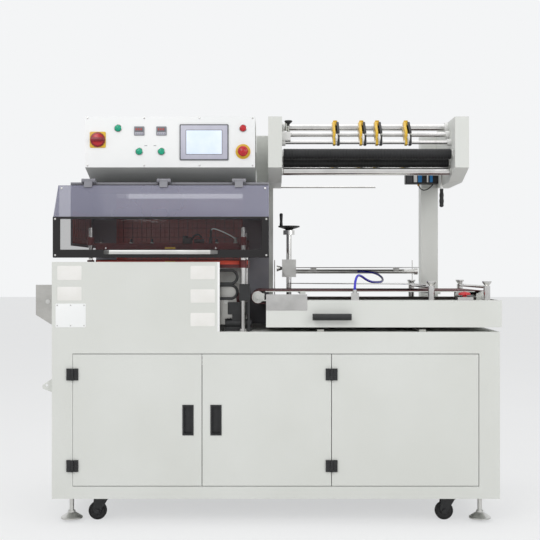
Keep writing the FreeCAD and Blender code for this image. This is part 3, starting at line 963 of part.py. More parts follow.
def film_unit():
    plates = []
    for tag, x in (("left", film_x0), ("right", film_x2)):
        plate = profile(f"film_side_{tag}", "YZ", film_outline("dim.film_depth"), "dim.film_wall", x)
        inner = film_x1 if tag == "left" else film_x2
        start = f"{inner} - dim.bush_length - dim.journal_gap" if tag == "left" else f"{inner} - 1"
        bores = [rod(f"seat_{tag}_{name}", "X", (start, behind(y), f"{deck} + {z}"),
                     "dim.bush_length + dim.journal_gap + 1", "dim.journal_radius + dim.run_gap")
                 for name, (y, z, _) in roller_seats.items()]
        column = "dim.column_one" if tag == "left" else "dim.column_two"
        span = (f"{left} + {column}", f"{inner}") if tag == "left" else (f"{left} + {column}", film_x3)
        flange = block(f"film_flange_{tag}", span, (f"{film_back} - dim.flange_thick", film_back),
                       (f"{deck} + dim.film_low", f"{deck} + dim.film_top - 20"))
        bored = cut(f"film_bored_{tag}", fuse(f"film_plate_{tag}", plate, flange), *bores)
        if tag == "right":
            pivot = rod("lever_pivot", "-X", (film_x2, behind("dim.lever_setback"), f"{deck} + dim.lever_above"),
                        "dim.lever_thick + 8", "dim.lever_pin")
            head = rod("lever_pivot_head", "-X", (f"{film_x2} - dim.lever_thick - 2 * dim.end_gap - 2",
                                                  behind("dim.lever_setback"), f"{deck} + dim.lever_above"), 5, "dim.lever_pin + 3")
            collar = rod("lever_pivot_collar", "-X", (film_x2, behind("dim.lever_setback"), f"{deck} + dim.lever_above"),
                         2, "dim.lever_pin + 3")
            bored = fuse("film_right_pivoted", bored, pivot, head, collar)
        plates.append(bored)
    node("film_side_plates", *plates)
    ties = []
    for tag, y, z, radius in (("tube", "dim.tube_setback", "dim.tube_above", "dim.tube_radius"),
                              ("bar", "dim.bar_setback", "dim.bar_above", "dim.bar_radius"),
                              ("shaft", "dim.shaft_setback", "dim.shaft_above", "dim.shaft_radius")):
        at_y, at_z = behind(y), f"({deck} + {z})"
        pieces = [rod(f"tie_{tag}", "X", (film_x1, at_y, at_z), "dim.film_span", radius)]
        for side, x in (("left", film_x1), ("right", f"({film_x2} - dim.bush_length)")):
            pieces.append(rod(f"tie_bush_{tag}_{side}", "X", (x, at_y, at_z), "dim.bush_length", f"{radius} + 4"))
        ties.append(fuse(f"tie_{tag}_bushed", *pieces))
    guide_x = f"({left} + dim.column_one + dim.column_size)"
    ties.append(rod("film_guide_rod", "X", (guide_x, behind("dim.column_setback + dim.column_size / 2"),
                                            f"{deck} + dim.guide_above"), "dim.guide_length", "dim.guide_radius"))
    node("film_tie_rods", *ties)
    for name, (y, z, radius) in roller_seats.items():
        reach = "(dim.bush_length + 6)"
        node(name, turning(name + "_turned", [
            ("0", "0"), ("dim.journal_radius", "0"), ("dim.journal_radius", reach), (radius, reach),
            (radius, f"dim.film_span + 2 * dim.bush_length - {reach}"),
            ("dim.journal_radius", f"dim.film_span + 2 * dim.bush_length - {reach}"),
            ("dim.journal_radius", "dim.film_span + 2 * dim.bush_length"), ("0", "dim.film_span + 2 * dim.bush_length")],
            (f"{film_x1} - dim.bush_length", behind(y), f"{deck} + {z}"), "X"))
    clips = []
    for index, at in enumerate((209, 311, 372, 484)):
        clips.append(film_clip(index, f"({film_x1} + {at})"))
    node("film_perforators", *clips)
    lever_y, lever_z = behind("dim.lever_setback"), f"({deck} + dim.lever_above)"
    eye_x = f"({film_x2} - 2 - dim.end_gap)"
    eye = rod("lever_eye", "-X", (eye_x, lever_y, lever_z), "dim.lever_thick - 1", "dim.lever_eye")
    stem = rod("lever_stem", "-Z", (f"{eye_x} - dim.lever_thick / 2", lever_y, lever_z), "dim.lever_length + 6", "dim.lever_radius")
    grip = turning("lever_grip", [
        ("0", "0"), ("dim.grip_radius * 0.7", "0"), ("dim.grip_radius", "6"), ("dim.grip_radius * 0.9", "dim.grip_drop - 8"),
        ("dim.lever_radius + 1", "dim.grip_drop"), ("0", "dim.grip_drop")],
        (f"{eye_x} - dim.lever_thick / 2", lever_y, f"{lever_z} - dim.lever_length - dim.grip_drop"))
    bore = rod("lever_bore", "-X", (f"{eye_x} + 1", lever_y, lever_z), "dim.lever_thick + 2", "dim.lever_pin + dim.run_gap")
    node("tension_lever", cut("lever", fuse("lever_solid", eye, stem, grip), bore))
    node("film_drive_unit", block("drive_case", (f"{film_x2} - dim.drive_width", film_x2),
                                  (f"{film_back} - dim.drive_depth - dim.flange_thick", f"{film_back} - dim.flange_thick"),
                                  (f"{deck} + dim.drive_above", f"{deck} + dim.drive_above + dim.drive_height")))


def film_clip(index, x):
    """One perforator: a clamp on the tube and bar, a knurled wheel in front and a clamping knob on top."""
    half = "dim.clip_width / 2"
    tube_y, tube_z = behind("dim.tube_setback"), f"({deck} + dim.tube_above)"
    bar_y, bar_z = behind("dim.bar_setback"), f"({deck} + dim.bar_above)"
    shaft_y, shaft_z = behind("dim.shaft_setback"), f"({deck} + dim.shaft_above)"
    body = profile(f"clip_plate_{index}", "YZ", [
        (f"{tube_y} + 18", f"{tube_z} + 18"), (f"{tube_y} - 30", f"{tube_z} + 18"), (f"{shaft_y} - 13", f"{shaft_z} + 40"),
        (f"{shaft_y} - 13", f"{shaft_z} - 12"), (f"{shaft_y} + 12", f"{shaft_z} - 12"), (f"{bar_y} + 14", f"{bar_z} - 14"),
        (f"{tube_y} + 18", f"{tube_z} - 16")], "dim.clip_width", f"{x} - {half}")
    wheel = turning(f"clip_wheel_{index}", [
        ("0", "0"), ("12", "0"), ("15", "2"), ("15", "6"), ("12", "8"), ("0", "8")],
        (f"{x} - 4", f"{shaft_y} - 14", f"{shaft_z} + 16"), "X")
    knob = rod(f"clip_knob_{index}", "Z", (x, f"{tube_y} - 4", f"{tube_z} + 17"), 10, 8)
    bores = []
    for tag, y, z, radius in (("tube", tube_y, tube_z, "dim.tube_radius"), ("bar", bar_y, bar_z, "dim.bar_radius"),
                              ("shaft", shaft_y, shaft_z, "dim.shaft_radius")):
        bores.append(rod(f"clip_bore_{tag}_{index}", "X", (f"{x} - {half} - 1", y, z), "dim.clip_width + 2",
                         f"{radius} + dim.clip_fit"))
    return cut(f"clip_{index}", fuse(f"clip_solid_{index}", body, wheel, knob), *bores)


# ---- control box ----
box_x = f"({left} + dim.box_left)"
face_y = f"({film_y} - dim.fascia)"
face_low = f"({deck} + dim.film_face_low)"
panel_controls = {
    "main_switch_knob": ("dim.switch_along", "dim.panel_switch"),
    "start_button": ("dim.start_along", "dim.panel_row_one"),
    "heater_button_a": ("dim.heater_one_along", "dim.panel_row_two"),
    "heater_button_b": ("dim.heater_two_along", "dim.panel_row_two"),
    "stop_button": ("dim.stops_along", "dim.panel_row_one"),
    "stop_mushroom_panel": ("dim.stops_along", "dim.panel_row_two"),
}


def panel_point(name, y):
    along, above = panel_controls[name]
    return f"{box_x} + {along}", y, f"{face_low} + {above}"


def control_box():
    stems = {name: rod(f"panel_hole_{name}", "Y", panel_point(name, f"{face_y} - 1"),
                       "dim.stem_depth + dim.stop_travel + 3", "dim.panel_stem + dim.run_gap") for name in panel_controls}
    case = profile("control_case", "YZ", film_outline("dim.box_depth"), "dim.box_width", box_x)
    node("control_box", cut("control_case_drilled", case, *stems.values()))
    plate = block("fascia_plate", (box_x, f"{box_x} + dim.box_width"), (face_y, film_y), (face_low, f"{deck} + dim.film_top"))
    holes = [rod(f"fascia_hole_{name}", "Y", panel_point(name, f"{face_y} - 1"), "dim.fascia + 2",
                 "dim.panel_stem + dim.run_gap") for name in panel_controls]
    node("control_fascia", cut("fascia", plate, *holes))
    screen_x, screen_z = f"({box_x} + dim.screen_along)", f"({face_low} + dim.screen_low)"
    bezel = block("screen_bezel", (screen_x, f"{screen_x} + dim.screen_width"), (f"{face_y} - dim.screen_rise", face_y),
                  (screen_z, f"{screen_z} + dim.screen_height"))
    glass = block("screen_recess", (f"{screen_x} + 16", f"{screen_x} + dim.screen_width - 16"),
                  (f"{face_y} - dim.screen_rise - 1", f"{face_y} - dim.screen_rise + 1"),
                  (f"{screen_z} + 16", f"{screen_z} + dim.screen_height - 16"))
    pieces = [cut("touch_screen", bezel, glass)]
    for name, at in (("one", "dim.heater_one_along"), ("two", "dim.heater_two_along")):
        x = f"({box_x} + {at})"
        pieces.append(block(f"meter_{name}", (f"{x} - dim.meter_width / 2", f"{x} + dim.meter_width / 2"),
                            (f"{face_y} - dim.meter_rise", face_y),
                            (f"{face_low} + dim.meter_low", f"{face_low} + dim.meter_low + dim.meter_height")))
    for name in ("start_button", "heater_button_a", "heater_button_b", "stop_button"):
        pieces.append(ring(f"collar_{name}", name, "dim.collar_radius", "dim.button_radius + dim.end_gap", "dim.collar_rise"))
    pieces.append(ring("stop_disc_ring", "stop_mushroom_panel", "dim.stop_disc", "dim.panel_stem + dim.end_gap", "dim.collar_rise"))
    x, _, z = panel_point("main_switch_knob", face_y)
    half = "dim.switch_plate / 2"
    switch = block("switch_plate", (f"{x} - {half}", f"{x} + {half}"), (f"{face_y} - dim.collar_rise", face_y),
                   (f"{z} - {half}", f"{z} + {half}"))
    pieces.append(cut("switch_escutcheon", switch, rod("switch_plate_hole", "Y", panel_point("main_switch_knob", f"{face_y} - 9"), 12,
                                                      "dim.panel_stem + dim.run_gap")))
    node("panel_instruments", *pieces)


def ring(name, control, outer, inner, rise):
    solid = rod(name + "_outer", "Y", panel_point(control, f"{face_y} - {rise}"), rise, outer)
    return cut(name, solid, rod(name + "_inner", "Y", panel_point(control, f"{face_y} - {rise} - 1"), f"{rise} + 2", inner))


def panel_buttons():
    for name in ("start_button", "heater_button_a", "heater_button_b", "stop_button"):
        node(name, turning(name + "_turned", [
            ("0", "-dim.stem_depth"), ("dim.panel_stem", "-dim.stem_depth"), ("dim.panel_stem", "dim.button_travel + 0.5"),
            ("dim.button_radius", "dim.button_travel + 0.5"), ("dim.button_radius", "dim.button_rise - 1"),
            ("dim.button_radius - 1", "dim.button_rise"), ("0", "dim.button_rise")],
            panel_point(name, face_y), "-Y"))
    node("stop_mushroom_panel", turning("panel_mushroom", mushroom(
        "dim.stop_button_radius", "dim.stop_rise", "dim.collar_rise + dim.stop_travel + 0.5"),
        panel_point("stop_mushroom_panel", face_y), "-Y"))
    base_rise = "(dim.collar_rise + dim.end_gap)"
    disc = turning("switch_disc", [
        ("0", "-dim.stem_depth"), ("dim.panel_stem", "-dim.stem_depth"), ("dim.panel_stem", base_rise),
        ("dim.switch_radius", base_rise), ("dim.switch_radius", f"{base_rise} + 6"),
        ("dim.switch_radius - 3", f"{base_rise} + 9"), ("0", f"{base_rise} + 9")],
        panel_point("main_switch_knob", face_y), "-Y")
    x, _, z = panel_point("main_switch_knob", face_y)
    grip = block("switch_grip", (f"{x} - dim.switch_radius + 4", f"{x} + dim.switch_radius - 4"),
                 (f"{face_y} - dim.switch_rise", f"{face_y} - {base_rise} - 8"), (f"{z} - 7", f"{z} + 7"))
    node("main_switch_knob", fuse("switch_knob", disc, grip))


# ---- open bay ----
def bay():
    """The jaw drive open to view beside the seal unit: a finned motor, its gearbox and the air manifold."""
    x0, y0 = f"({seal_right} + dim.gearbox_left)", behind("dim.bay_setback")
    low = f"({deck} + dim.gearbox_low)"
    gearbox = block("gearbox", (x0, f"{x0} + dim.gearbox_width"), (y0, f"{y0} + dim.gearbox_depth"),
                    (low, f"{low} + dim.gearbox_height"))
    motor_x = f"({x0} - 10)"
    centre = (motor_x, f"{y0} + dim.motor_radius", f"{deck} + dim.motor_radius + 10")
    motor = rod("motor_case", "X", centre, "dim.motor_length", "dim.motor_radius")
    foot = block("motor_foot", (motor_x, f"{motor_x} + dim.motor_length"), (y0, f"{y0} + 2 * dim.motor_radius"),
                 (deck, f"{deck} + 16"))
    neck = block("gear_neck", (f"{x0} + 16", f"{x0} + dim.gearbox_width - 16"), (f"{y0} + 4", f"{y0} + dim.gearbox_depth - 4"),
                 (f"{deck} + 2 * dim.motor_radius", f"{low} + 2"))
    fins = [rod(f"motor_fin_{index}", "X", (f"{motor_x} + 8 + {index} * 9", centre[1], centre[2]), 3,
                "dim.motor_radius + 2") for index in range(9)]
    bracket_y = (behind(2), behind(6))
    bracket = fuse("bay_bracket", block("bracket_leg", (f"{seal_right} + 100", f"{seal_right} + 108"), bracket_y,
                                        (deck, f"{deck} + dim.bracket_above")),
                   block("bracket_plate", (f"{seal_right} + 70", f"{seal_right} + 108"), bracket_y,
                         (f"{deck} + dim.bracket_above - dim.bracket_height", f"{deck} + dim.bracket_above")))
    manifold = block("air_manifold", (f"{seal_right} - 58", f"{seal_right} - 38"),
                     (behind("dim.loop_setback - 10"), behind("dim.loop_setback + 10")), (deck, f"{deck} + 226"))
    loops = [bay_loop("bay_hose_low", f"{deck} + 118"), bay_loop("bay_hose_high", f"{deck} + 172")]
    node("bay_drive", fuse("jaw_drive", gearbox, motor, foot, neck, *fins), bracket, manifold, *loops)


def bay_loop(name, low):
    """One moulded hose that leaves the manifold, turns back on itself and returns to it."""
    x0 = number(f"{seal_right} - 38")
    x1 = number(f"{seal_right} + dim.loop_reach - dim.loop_bend")
    y = number(behind("dim.loop_setback"))
    bend, radius = number("dim.loop_bend"), number("dim.loop_radius")
    z0 = number(low)
    z1 = z0 + 2 * bend
    start, turn_low = FreeCAD.Vector(x0, y, z0), FreeCAD.Vector(x1, y, z0)
    turn_mid, turn_high = FreeCAD.Vector(x1 + bend, y, z0 + bend), FreeCAD.Vector(x1, y, z1)
    path = Part.Wire([Part.LineSegment(start, turn_low).toShape(), Part.Arc(turn_low, turn_mid, turn_high).toShape(),
                      Part.LineSegment(turn_high, FreeCAD.Vector(x0, y, z1)).toShape()])
    ring_edge = Part.Wire([Part.makeCircle(radius, start, FreeCAD.Vector(1, 0, 0))])
    thing = doc.addObject("Part::Feature", name)
    thing.Shape = path.makePipeShell([ring_edge], True, False)
    return thing


def hose_path(points, share=0.45):
    """Straight runs joined by tangent arcs, each as large as its two runs allow; prints the radii."""
    points = [FreeCAD.Vector(*point) for point in points]
    edges, radii, here = [], [], points[0]
    for before, corner, after in zip(points, points[1:], points[2:]):
        back_dir, out_dir = (before - corner).normalize(), (after - corner).normalize()
        reach = share * min((corner - before).Length, (after - corner).Length)
        half_turn = (math.pi - back_dir.getAngle(out_dir)) / 2
        radius = reach / math.tan(half_turn)
        radii.append(round(radius, 1))
        enter, leave = corner + back_dir * reach, corner + out_dir * reach
        inward = (back_dir + out_dir).normalize()
        centre = corner + inward * (radius ** 2 + reach ** 2) ** 0.5
        middle = centre - inward * radius
        edges.append(Part.LineSegment(here, enter).toShape())
        edges.append(Part.Arc(enter, middle, leave).toShape())
        here = leave
    edges.append(Part.LineSegment(here, points[-1]).toShape())
    print("hose arc radii", radii)
    return Part.Wire(edges)


def air_hose():
    path = hose_path(AIR_HOSE)
    radius = number("dim.hose_radius")
    direction = FreeCAD.Vector(*AIR_HOSE[1]) - FreeCAD.Vector(*AIR_HOSE[0])
    section = Part.Wire([Part.makeCircle(radius, FreeCAD.Vector(*AIR_HOSE[0]), direction)])
    tube = path.makePipeShell([section], True, False)
    expected = math.pi * radius ** 2 * path.Length
    print(f"air hose length {path.Length:.1f} mm, volume ratio {tube.Volume / expected:.4f}")
    thing = doc.addObject("Part::Feature", "air_hose_tube")
    thing.Shape = tube
    node("air_hose", thing)


# The air hose's route by hand: out of the nozzle, over the forming plate and down on the valve.
AIR_HOSE = [
    (371.4, 151, 904), (410, 147.5, 904), (446, 110, 896), (462, 52, 880), (458, -10, 868), (444, -66, 863.5),
    (420, -118, 863), (396, -170, 865), (372, -222, 874), (350, -268, 888), (334, -304, 892), (324, -330, 878),
    (319.5, -341, 855), (319.5, -341, 839),
]


cabinet()
cover_panels()
doors()
electrical_gear()
levelling_feet()
casters()
seal_casing()
guard()
hood()
jaws()
outfeed()
infeed()
infeed_fittings()
opener()
columns()
film_unit()
control_box()
panel_buttons()
bay()
air_hose()

doc.recompute()
for thing in doc.Objects:
    if "Invalid" in thing.State or "Error" in thing.State:
        raise RuntimeError(f"{thing.Name} failed: {thing.State}")
os.makedirs("parts", exist_ok=True)
for label, thing in nodes.items():
    shape = thing.Shape
    if shape.isNull() or not shape.isValid():
        raise RuntimeError(f"{label} has no valid shape")
    shape.exportStep(f"parts/{label}.step")
print(len(nodes), "sub-parts written")
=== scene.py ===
import json
import math

import bmesh
import bpy
import numpy as np
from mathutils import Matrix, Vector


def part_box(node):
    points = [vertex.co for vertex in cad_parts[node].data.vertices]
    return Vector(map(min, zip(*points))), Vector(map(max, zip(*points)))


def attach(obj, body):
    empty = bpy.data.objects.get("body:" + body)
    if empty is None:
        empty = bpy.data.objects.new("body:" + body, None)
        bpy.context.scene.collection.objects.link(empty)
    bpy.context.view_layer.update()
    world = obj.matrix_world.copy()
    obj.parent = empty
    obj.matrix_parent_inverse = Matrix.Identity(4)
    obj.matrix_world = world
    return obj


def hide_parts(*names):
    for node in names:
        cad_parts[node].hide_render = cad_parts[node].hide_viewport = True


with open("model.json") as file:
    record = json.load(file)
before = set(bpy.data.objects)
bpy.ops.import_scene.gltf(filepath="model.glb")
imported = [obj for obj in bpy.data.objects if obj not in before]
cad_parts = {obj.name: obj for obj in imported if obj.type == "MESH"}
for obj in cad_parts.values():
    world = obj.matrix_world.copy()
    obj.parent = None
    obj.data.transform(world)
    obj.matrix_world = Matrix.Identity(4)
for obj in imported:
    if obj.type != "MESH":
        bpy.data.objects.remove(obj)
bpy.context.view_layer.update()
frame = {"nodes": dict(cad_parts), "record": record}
record = frame["record"]
scene = bpy.context.scene
scene.view_settings.view_transform = "Standard"
bodyOf = {node: body for body, nodes in record["behaviour"]["bodies"].items() for node in nodes}


# small helpers

def linear(hexColour, alpha=1.0):
    # sRGB hex to the linear numbers that Blender's sockets take
    parts = [int(hexColour[i:i + 2], 16) / 255 for i in (1, 3, 5)]
    return [c / 12.92 if c <= 0.04045 else ((c + 0.055) / 1.055) ** 2.4 for c in parts] + [alpha]


def addNode(material, kind, settings=None, links=None):
    # a settings name that is one of the node's sockets fills it, any other name is the node's own property
    node = material.node_tree.nodes.new(kind)
    for name, value in (settings or {}).items():
        if isinstance(name, int) or name in node.inputs:
            node.inputs[name].default_value = value
        else:
            setattr(node, name, value)
    for name, socket in (links or {}).items():
        material.node_tree.links.new(socket, node.inputs[name])
    return node


def nodeBox(name):
    # a CAD node's limits in millimetres: x0, x1, y0, y1, z0, z1
    low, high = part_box(name)
    return [round(1000 * v, 2) for pair in zip(low, high) for v in pair]


# the camera and the air hose come first

cameraSetup = {"distance": 3.6, "height": 0.91, "across": 0.0135, "viewWidth": 1.93}
cabinetBox = nodeBox("cabinet_frame")
lens = bpy.data.cameras.new("camera")
lens.sensor_width = 36
lens.lens = 36 * cameraSetup["distance"] / cameraSetup["viewWidth"]
camera = bpy.data.objects.new("camera", lens)
camera.location = (cameraSetup["across"], cabinetBox[2] / 1000 - cameraSetup["distance"],
                   cameraSetup["height"])
camera.rotation_euler = (math.pi / 2, 0, 0)
scene.collection.objects.link(camera)
scene.camera = camera

airHose = {
    "radius": 0.0045, "length": 0.6078,
    "route": [(0.3714, 0.151, 0.904), (0.410, 0.1475, 0.904), (0.446, 0.110, 0.896), (0.462, 0.052, 0.880),
              (0.458, -0.010, 0.868), (0.444, -0.066, 0.8635), (0.420, -0.118, 0.863), (0.396, -0.170, 0.865),
              (0.372, -0.222, 0.874), (0.350, -0.268, 0.888), (0.334, -0.304, 0.892), (0.324, -0.330, 0.878),
              (0.3195, -0.341, 0.855), (0.3195, -0.341, 0.839)],
}
hoseCurve = bpy.data.curves.new("blueAirHose", "CURVE")
hoseCurve.dimensions = "3D"
# the tube's radius is bevel depth times point radius; the small point radius keeps the bounds close
hoseCurve.bevel_depth = 1.0
hoseCurve.bevel_resolution = 5
hoseCurve.resolution_u = 14
hoseCurve.use_fill_caps = True
hoseLine = hoseCurve.splines.new("NURBS")
hoseLine.points.add(len(airHose["route"]) - 1)
for point, place in zip(hoseLine.points, airHose["route"]):
    point.co = (*place, 1)
    point.radius = airHose["radius"]
hoseLine.order_u = 3
hoseLine.use_endpoint_u = True
hose = bpy.data.objects.new("blueAirHose", hoseCurve)
scene.collection.objects.link(hose)
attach(hose, bodyOf["air_hose"])
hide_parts("air_hose")
print("camera and air hose made")


# materials
# every row: colour and second colour (sRGB), blotch = size in mm of the slow colour change, grain = size in mm
# of the fine pattern, stretch = how it is drawn out along x, y, z, bump = its height in mm, rough = two limits

def makeMaterial(name, look):
    material = bpy.data.materials.new(name)
    material.use_nodes = True
    material.node_tree.nodes.clear()
    place = addNode(material, "ShaderNodeTexCoord").outputs["Object"]
    slow = addNode(material, "ShaderNodeTexNoise",
                   {"Scale": 1000 / look.get("blotch", 180), "Detail": 3.0, "Roughness": 0.55},
                   {"Vector": place})
    slowRange = addNode(material, "ShaderNodeMapRange",
                        {"From Min": 0.35, "From Max": 0.65, "To Min": 0.0, "To Max": 1.0},
                        {"Value": slow.outputs[0]})
    stretched = addNode(material, "ShaderNodeMapping", {"Scale": look.get("stretch", (1, 1, 1))},
                        {"Vector": place})
    kind = look.get("pattern", "ShaderNodeTexNoise")
    fine = addNode(material, kind, {"Scale": 1000 / look.get("grain", 2.0)}, {"Vector": stretched.outputs[0]})
    for key, value in look.get("patternSettings", {}).items():
        if key in fine.inputs:
            fine.inputs[key].default_value = value
        else:
            setattr(fine, key, value)
    fineOut = fine.outputs["Distance"] if "Distance" in fine.outputs else fine.outputs[0]
    fineOut = fine.outputs["Fac"] if "Fac" in fine.outputs else fineOut
    colour = addNode(material, "ShaderNodeMix", {"data_type": "RGBA", 6: linear(look["colour"]),
                                                 7: linear(look["second"])}, {0: slowRange.outputs[0]})
    lines = addNode(material, "ShaderNodeMix", {"data_type": "RGBA", "blend_type": "MULTIPLY",
                                                0: look.get("tint", 0.08)},
                                                {6: colour.outputs[2], 7: fineOut})
    rough = addNode(material, "ShaderNodeMapRange", {"To Min": look["rough"][0], "To Max": look["rough"][1]},
                    {"Value": fineOut})
    bump = addNode(material, "ShaderNodeBump", {"Strength": look.get("bumpStrength", 0.35),
                                                "Distance": look.get("bump", 0.03) / 1000},
                                                {"Height": fineOut})
    shader = addNode(material, "ShaderNodeBsdfPrincipled", look.get("surface", {}),
                     {"Base Color": lines.outputs[2], "Roughness": rough.outputs[0],
                      "Normal": bump.outputs[0]})
    addNode(material, "ShaderNodeOutputMaterial", {}, {"Surface": shader.outputs[0]})
    return material


